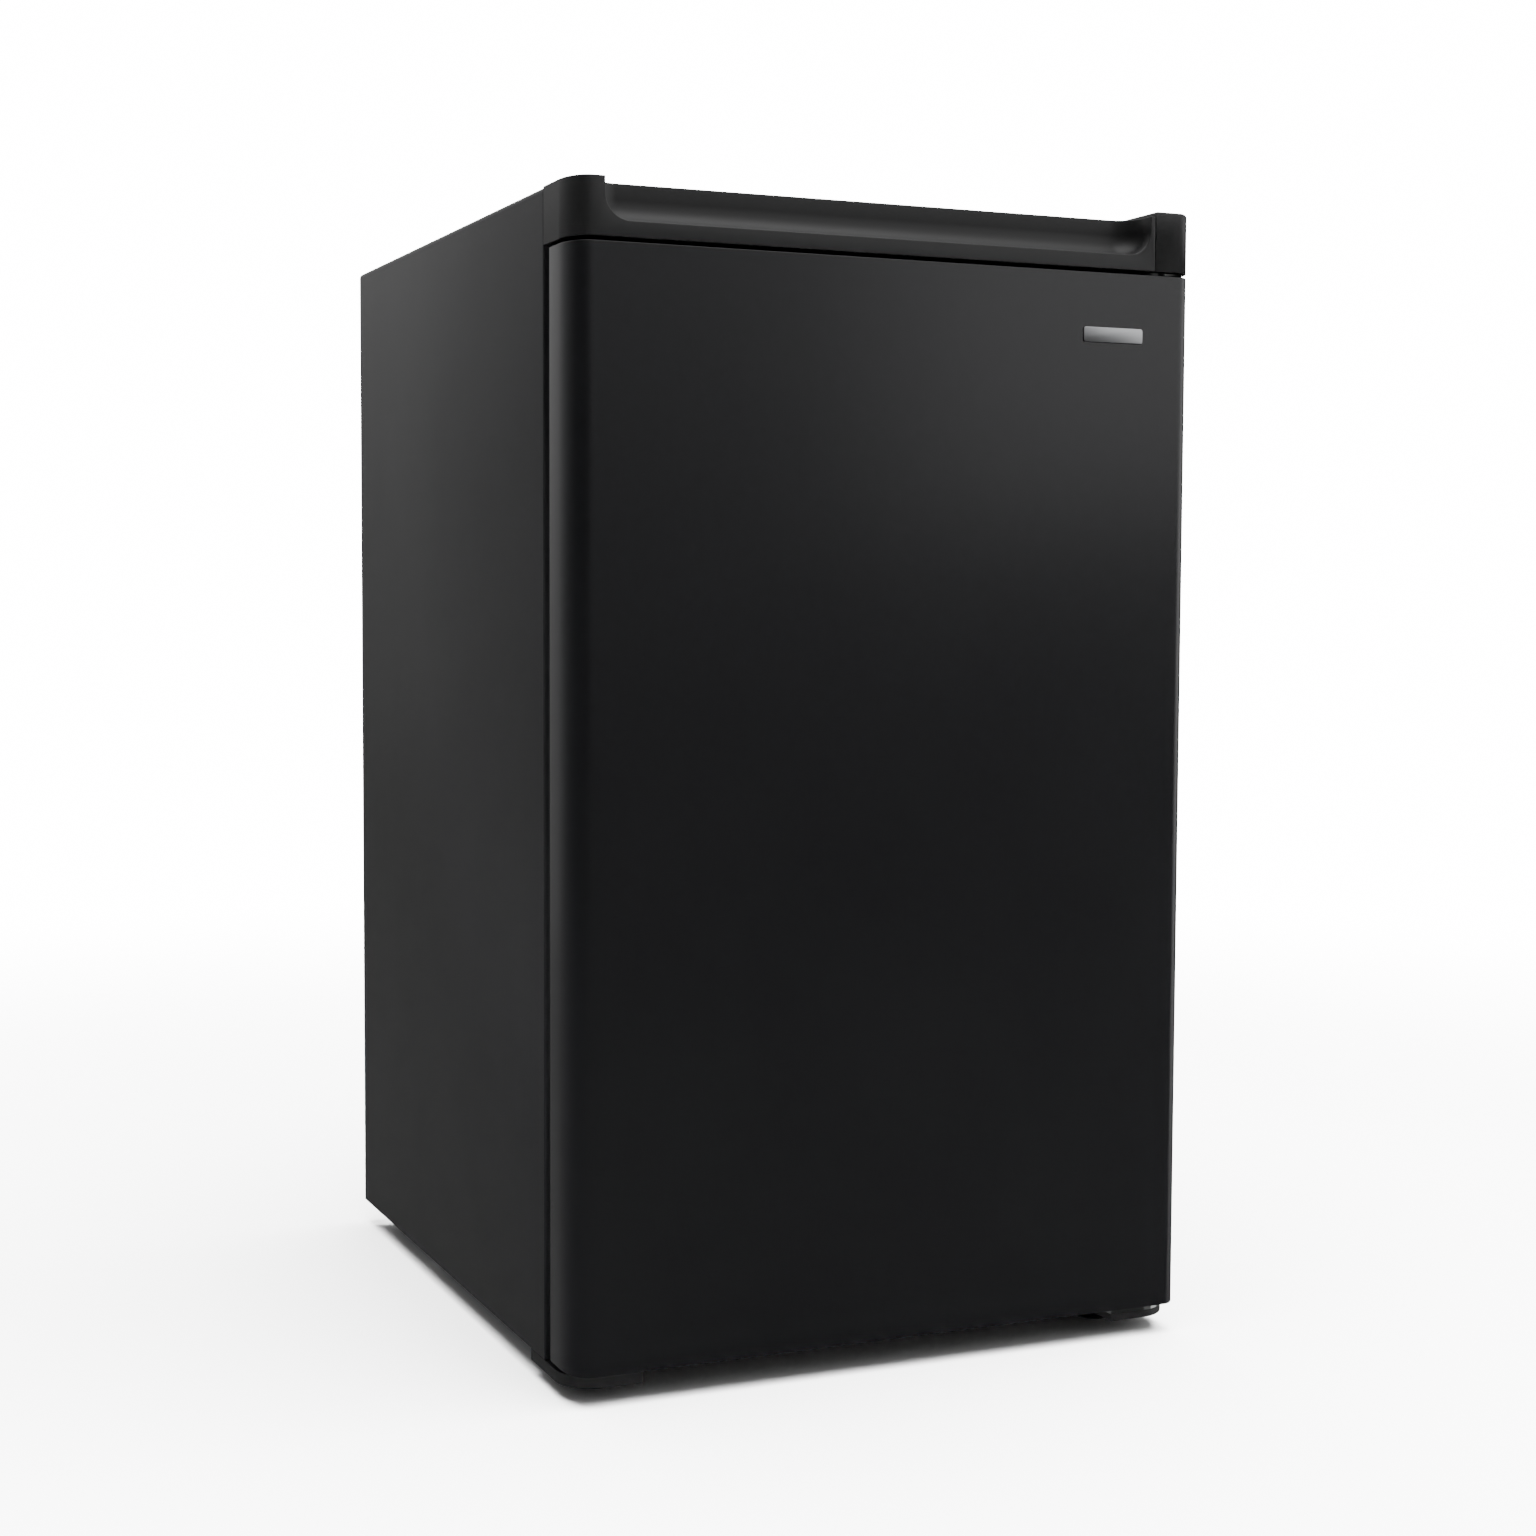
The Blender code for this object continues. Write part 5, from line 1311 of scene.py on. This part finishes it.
@dataclass
class Machine:
    """The compressor, the condenser and their pipes on the back."""

    wire: float = 0.7 * MM
    wire_pitch: float = 9.5 * MM
    bend: float = 18 * MM
    runs: int = 11

    def build(self, shop: Workshop) -> None:
        """Builds the back of the refrigerator."""
        shop.dress(ZINC, "base_pan", "back_panel", "compressor_plate")
        shop.dress(DIPPED_PAINT, "condenser_strap_left", "condenser_strap_right")
        self.condenser(shop)
        self.compressor(shop)
        self.pipes(shop)
        self.small_parts(shop)

    def condenser(self, shop: Workshop) -> None:
        """The serpentine tube and the wires welded across it."""
        low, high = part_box("condenser_tube")
        radius = (high.y - low.y) / 2
        y = (low.y + high.y) / 2
        strap_low, strap_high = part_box("condenser_strap_left")
        bottom, top = strap_low.z + 12 * MM, strap_high.z - 12 * MM
        left, down = low.x + radius, high.x - radius
        right = -left
        corners = [(left, y, low.z)]
        for run in range(self.runs):
            z = bottom + run * (top - bottom) / (self.runs - 1)
            ends = (left, right) if run % 2 == 0 else (right, left)
            corners += [(x, y, z) for x in ends]
        corners[-1] = (down, y, corners[-1][2])
        corners.append((down, y, low.z))
        serpentine = tube("condenser_serpentine", bent(corners, self.bend, 10), radius)
        shop.show("condenser_serpentine", serpentine, DIPPED_PAINT, "condenser_tube")
        self.wires(shop, y, radius, left + 8 * MM, right - 8 * MM, bottom - 7 * MM, top + 7 * MM)

    def wires(
        self, shop: Workshop, y: float, radius: float, left: float, right: float, bottom: float, top: float
    ) -> None:
        """The upright wires on both faces of the tube, clear of the straps.

        Args:
            shop: where the piece is added.
            y: the tube's middle.
            radius: the tube's radius.
            left: the first wire's x.
            right: the last wire's x.
            bottom: the wires' lower end.
            top: their upper end.
        """
        straps = [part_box(f"condenser_strap_{side}") for side in ("left", "right")]
        grid = tube("condenser_wires", [(left, y, bottom), (left, y, top)], self.wire)
        grid.data.splines.clear()
        grid.data.bevel_resolution = 1
        count = int((right - left) / self.wire_pitch)
        for i in range(count + 1):
            x = left + i * (right - left) / count
            for side in (-1, 1):
                crosses = any(low.x - 2 * MM < x < high.x + 2 * MM for low, high in straps)
                if side > 0 and crosses:
                    continue
                depth = y + side * (radius + self.wire * 0.8)
                add_spline(grid.data, [(x, depth, bottom), (x, depth, top)])
        shop.show("condenser_wires", grid, DIPPED_PAINT)

    def compressor(self, shop: Workshop) -> None:
        """Two drawn steel cups welded round the middle, on a pressed foot plate."""
        low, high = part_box("compressor")
        feet_y = 100 * MM
        middle = (low + high) / 2
        foot = 2.5 * MM
        half = (82.5 * MM, 54 * MM)
        y = middle.y
        pot = block(
            (middle.x - half[0], y - half[1], low.z + foot), (middle.x + half[0], y + half[1], high.z),
            42 * MM, 14
        )
        seam = low.z + foot + 67 * MM
        band = slab(
            (middle.x - half[0] - 2 * MM, y - half[1] - 2 * MM, seam - 2 * MM),
            (middle.x + half[0] + 2 * MM, y + half[1] + 2 * MM, seam + 2 * MM), 44 * MM, 14, Edges.ALONG_Z,
            1.6 * MM, 4
        )
        plate = slab(
            (low.x, y - feet_y / 2, low.z), (high.x, y + feet_y / 2, low.z + foot), 12 * MM, 6,
            Edges.ALONG_Z, 0.6 * MM
        )
        shape = joined(pot, band, plate)
        shop.show("compressor_pot", shape, DIPPED_PAINT, "compressor", smooth=50)
        cover_low, cover_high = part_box("terminal_cover")
        cover = block(cover_low, cover_high, 5 * MM, 5)
        shop.show("terminal_lid", cover, BLACK_ABS, "terminal_cover")
        clip_y = (cover_low.y + cover_high.y) / 2
        clip = block(
            (cover_low.x - 2 * MM, clip_y - 4 * MM, cover_high.z - MM),
            (cover_high.x - 6 * MM, clip_y + 4 * MM, cover_high.z + 0.4 * MM), 0.5 * MM, 2
        )
        shop.show("terminal_clip", clip, BRIGHT_ZINC)

    def pipes(self, shop: Workshop) -> None:
        """The copper pipes, the filter drier and the coil of the capillary."""
        low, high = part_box("discharge_pipe")
        radius = 2.4 * MM
        left, right, rise = low.x + radius, high.x - radius, high.z - radius
        corners = [(right, low.y + radius, low.z), (right, low.y + radius, rise)]
        corners.append((left, high.y - radius, rise))
        corners.append((left, high.y - radius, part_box("condenser_tube")[0].z))
        line = tube("discharge_line", bent(corners, 8 * MM), radius)
        shop.show("discharge_line", line, COPPER, "discharge_pipe")
        low, middle, high = span("suction_pipe")
        radius = (high.y - low.y) / 2
        left, right, y = low.x + radius, high.x - radius, middle.y
        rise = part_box("compressor")[1].z + 20.3 * MM
        corners = [(left, y, low.z), (left, y, rise), (right, y, rise), (right, y, high.z)]
        line = tube("suction_line", bent(corners, 8 * MM), radius)
        shop.show("suction_line", line, COPPER, "suction_pipe")
        low, middle, high = span("filter_drier")
        wide = (high.x - low.x) / 2
        half = (high.z - low.z) / 2
        neck = 2.7 * MM
        profile = [(0, half), (neck, half), (neck, half - 8 * MM)]
        profile += [
            (neck + (wide - neck) * (1 - c), half - 8 * MM - 10 * MM * s) for c, s in quarter_turn(6)
        ]
        profile += [(r, -z) for r, z in reversed(profile)]
        drier = lathe(profile, middle, steps=40)
        shop.show("drier", drier, COPPER, "filter_drier")
        self.capillary(shop, low, high)

    def capillary(self, shop: Workshop, low: Vector, high: Vector) -> None:
        """The thin tube from the drier's foot, wound in a few turns and led up to the roof."""
        middle = (low + high) / 2
        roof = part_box("base_pan")[1].z - MM
        turns, radius = 4, 15 * MM
        points = [
            Vector((middle.x, middle.y, low.z + 2 * MM)), Vector((middle.x, middle.y, low.z - 4 * MM))
        ]
        centre = Vector((middle.x - 34 * MM, middle.y, middle.z))
        steps = 28
        for i in range(turns * steps + 1):
            angle = -math.pi / 2 + i / steps * math.tau
            depth = -6 * MM + i / steps * 2.6 * MM
            points.append(centre + Vector((radius * math.cos(angle), depth, radius * math.sin(angle))))
        points.append(Vector((centre.x - 12 * MM, points[-1].y, centre.z + 12 * MM)))
        points.append(Vector((centre.x - 14 * MM, points[-1].y, roof)))
        thin = tube("capillary", points, 1.0 * MM)
        shop.show("capillary", thin, COPPER)

    def small_parts(self, shop: Workshop) -> None:
        """The grommets, the nuts on them, the cord's bush and the screws of the back."""
        shop.dress(RUBBER, "cord_inlet")
        nuts = []
        for number in range(1, 5):
            node = f"grommet_{number}"
            low, middle, high = span(node)
            wide = (high.x - low.x) / 2
            tall = high.z - low.z
            profile = [(0, 0), (wide - MM, 0), (wide, MM)]
            profile += [
                (wide - 3 * MM * math.sin(math.pi * i / 6), MM + i / 6 * (tall - 2 * MM)) for i in range(7)
            ]
            profile += [(wide, tall - MM), (wide - MM, tall), (0, tall)]
            foot = lathe(profile, (middle.x, middle.y, low.z), steps=32)
            shop.show(f"rubber_foot_{number}", foot, RUBBER, node)
            seat = high.z + 2.9 * MM
            nuts.append(lathe([(0, 0), (7 * MM, 0), (7 * MM, MM), (0, MM)], (middle.x, middle.y, seat)))
            nuts.append(
                lathe(
                    [(0, 0), (4.6 * MM, 0), (4.6 * MM, 4 * MM), (0, 4 * MM)],
                    (middle.x, middle.y, seat + MM), steps=6
                )
            )
            nuts.append(rod((middle.x, middle.y, seat), (middle.x, middle.y, seat + 8 * MM), 2.4 * MM, 16))
        shop.show("mounting_nuts", joined(*nuts), BRIGHT_ZINC, smooth=30)
        low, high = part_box("back_panel")
        seats = []
        for x in (low.x + 12 * MM, high.x - 12 * MM):
            for part in (0.06, 0.35, 0.65, 0.95):
                seats.append((x, high.y, low.z + part * (high.z - low.z)))
        for side in ("left", "right"):
            strap_low, strap_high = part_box(f"condenser_strap_{side}")
            seats.append(((strap_low.x + strap_high.x) / 2, high.y, strap_high.z + 8 * MM))
        heads = pan_heads(seats, (0, 1, 0), 4 * MM)
        shop.show("back_screws", heads, BRIGHT_ZINC, smooth=30)


# Studio


@dataclass
class Studio:
    """A pale floor, soft lights and the camera."""

    lens: float = 56.95
    camera_at: tuple[float, float, float] = (-0.7891, -1.8241, 0.5581)
    pitch: float = 86.47
    yaw: float = -23.05
    roll: float = 0.197
    shift: tuple[float, float] = (0.026, -0.013)
    floor_half: float = 6.0
    floor_colour: str = "#f2f2f2"
    backdrop: float = 16.0
    floor_piece: Optional[Object] = None

    def build(self) -> None:
        """Builds the stage, which is no part of the object."""
        self.floor()
        self.world()
        self.softbox("front_box", (1.9, -2.3, 1.75), (0.0, 0.0, 0.6), (1.6, 1.6), 7.5)
        self.softbox("side_box", (-1.5, 3.0, 1.2), (-0.25, 0.0, 0.5), (2.6, 3.0), 2)
        self.softbox("top_box", (0.0, -0.2, 3.0), (0.0, 0.0, 0.8), (2.4, 2.4), 40)
        floor_light = self.softbox("floor_light", (0.4, -0.4, 4.5), (0.0, 0.0, 0.0), (5.0, 5.0), 3000)
        lit = bpy.data.collections.new("lit_floor")
        lit.objects.link(self.floor_piece)
        floor_light.light_linking.receiver_collection = lit
        self.camera()

    def floor(self) -> None:
        """The floor: pale near the object and clear far out, so that it meets the backdrop with no edge."""
        shape = bmesh.new()
        bmesh.ops.create_grid(shape, x_segments=1, y_segments=1, size=self.floor_half)
        made = bpy.data.objects.new("floor", mesh_of(shape, "floor"))
        link(made)
        made.visible_glossy = False
        paint = bpy.data.materials.new("floor_paper_matt")
        paint.use_nodes = True
        tree = paint.node_tree
        shader = tree.nodes["Principled BSDF"]
        shader.inputs["Base Color"].default_value = linear(self.floor_colour)
        shader.inputs["Roughness"].default_value = 0.9
        shader.inputs["Specular IOR Level"].default_value = 0.0
        place = add_node(tree, "TexCoord").outputs["Object"]
        away = add_node(tree, "VectorMath", {"operation": "LENGTH"}, {0: place})
        fade = add_node(
            tree, "MapRange", {"interpolation_type": "SMOOTHSTEP"},
            {0: away.outputs["Value"], 1: 0.9, 2: 2.6}
        )
        clear = add_node(tree, "BsdfTransparent")
        mixed = add_node(
            tree, "MixShader", None, {0: fade.outputs[0], 1: shader.outputs[0], 2: clear.outputs[0]}
        )
        tree.links.new(mixed.outputs[0], tree.nodes["Material Output"].inputs["Surface"])
        made.data.materials.append(paint)
        self.floor_piece = made

    def world(self) -> None:
        """A white backdrop, and a soft light that is brighter above than below."""
        world = bpy.data.worlds.new("studio")
        bpy.context.scene.world = world
        world.use_nodes = True
        tree = world.node_tree
        tree.nodes.clear()
        way = add_node(tree, "TexCoord").outputs["Generated"]

        def toward(aim: Place) -> NodeSocket:
            """How far the way points toward an aim."""
            return add_node(
                tree, "VectorMath", {"operation": "DOT_PRODUCT"}, {0: way, 1: aim}
            ).outputs["Value"]

        def ramp(value: NodeSocket, *ends: float, kind: str = "LINEAR") -> NodeSocket:
            """Maps the first two ends to the last two."""
            inputs = {0: value, **dict(enumerate(ends, 1))}
            return add_node(tree, "MapRange", {"interpolation_type": kind}, inputs).outputs[0]

        def joint(kind: str, one: NodeSocket, other: NodeSocket) -> NodeSocket:
            """Two values added or multiplied."""
            return add_node(tree, "Math", {"operation": kind}, {0: one, 1: other}).outputs[0]

        up = add_node(tree, "SeparateXYZ", None, {0: way}).outputs["Z"]
        glow = ramp(up, -0.15, 0.7, 0.03, 0.9, kind="SMOOTHSTEP")
        side = ramp(toward((0.94, 0.33, 0)), -0.95, 0.1, 0.15, 1.0)
        sweep = ramp(toward((-0.3, 0.95, 0)), 0.4, 0.9, 0.0, 0.16)
        fill = ramp(toward((0.97, -0.24, 0)), 0.85, 0.99, 0.0, 1.4)
        total = joint("ADD", joint("MULTIPLY", glow, side), joint("ADD", sweep, fill))
        soft = add_node(tree, "Background", None, {0: (1, 1, 1, 1), 1: total})
        white = add_node(tree, "Background", None, {0: (1, 1, 1, 1), 1: self.backdrop})
        seen = add_node(tree, "LightPath").outputs["Is Camera Ray"]
        both = add_node(tree, "MixShader", None, {0: seen, 1: soft.outputs[0], 2: white.outputs[0]})
        add_node(tree, "OutputWorld", None, {"Surface": both.outputs[0]})

    def softbox(self, name: str, at: Place, aim: Place, size: tuple[float, float], watts: float) -> Object:
        """A square soft light.

        Args:
            name: its name.
            at: where it stands.
            aim: the point that it faces.
            size: its width and height.
            watts: its power.

        Returns:
            The lamp.
        """
        light = bpy.data.lights.new(name, "AREA")
        light.shape = "RECTANGLE"
        light.size, light.size_y = size
        light.energy = watts
        made = bpy.data.objects.new(name, light)
        made.location = at
        made.rotation_euler = (Vector(aim) - Vector(at)).to_track_quat("-Z", "Y").to_euler()
        link(made)
        return made

    def camera(self) -> None:
        """The camera, a little below the door's middle and to its left."""
        lens = bpy.data.cameras.new("camera")
        lens.lens = self.lens
        lens.sensor_width = 36.0
        lens.shift_x, lens.shift_y = self.shift
        made = bpy.data.objects.new("camera", lens)
        made.location = self.camera_at
        made.rotation_euler = [math.radians(a) for a in (self.pitch, 0.0, self.yaw)]
        made.rotation_euler.rotate_axis("Z", math.radians(self.roll))
        link(made)
        bpy.context.scene.camera = made


class Refrigerator:
    """The whole refrigerator: its sub-assemblies, in the order that they are built."""

    def build(self, shop: Workshop) -> None:
        """Builds every sub-assembly on the frame."""
        shop.dress(CABINET_ENAMEL, "bottom_rail")
        shop.dress(FOAM, "cabinet_foam")
        for part in (Wrap(), Fascia(), Footing(), Door(), Room(), Machine()):
            before = shop.count
            part.build(shop)
            LOG.info("%s: %d pieces", type(part).__name__, shop.count - before)


def main() -> None:
    """Loads the frame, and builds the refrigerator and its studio."""
    logging.basicConfig(level=logging.INFO, format="%(name)s: %(message)s")
    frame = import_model()
    Refrigerator().build(Workshop(frame))
    Studio().build()


if __name__ == "__main__":
    main()
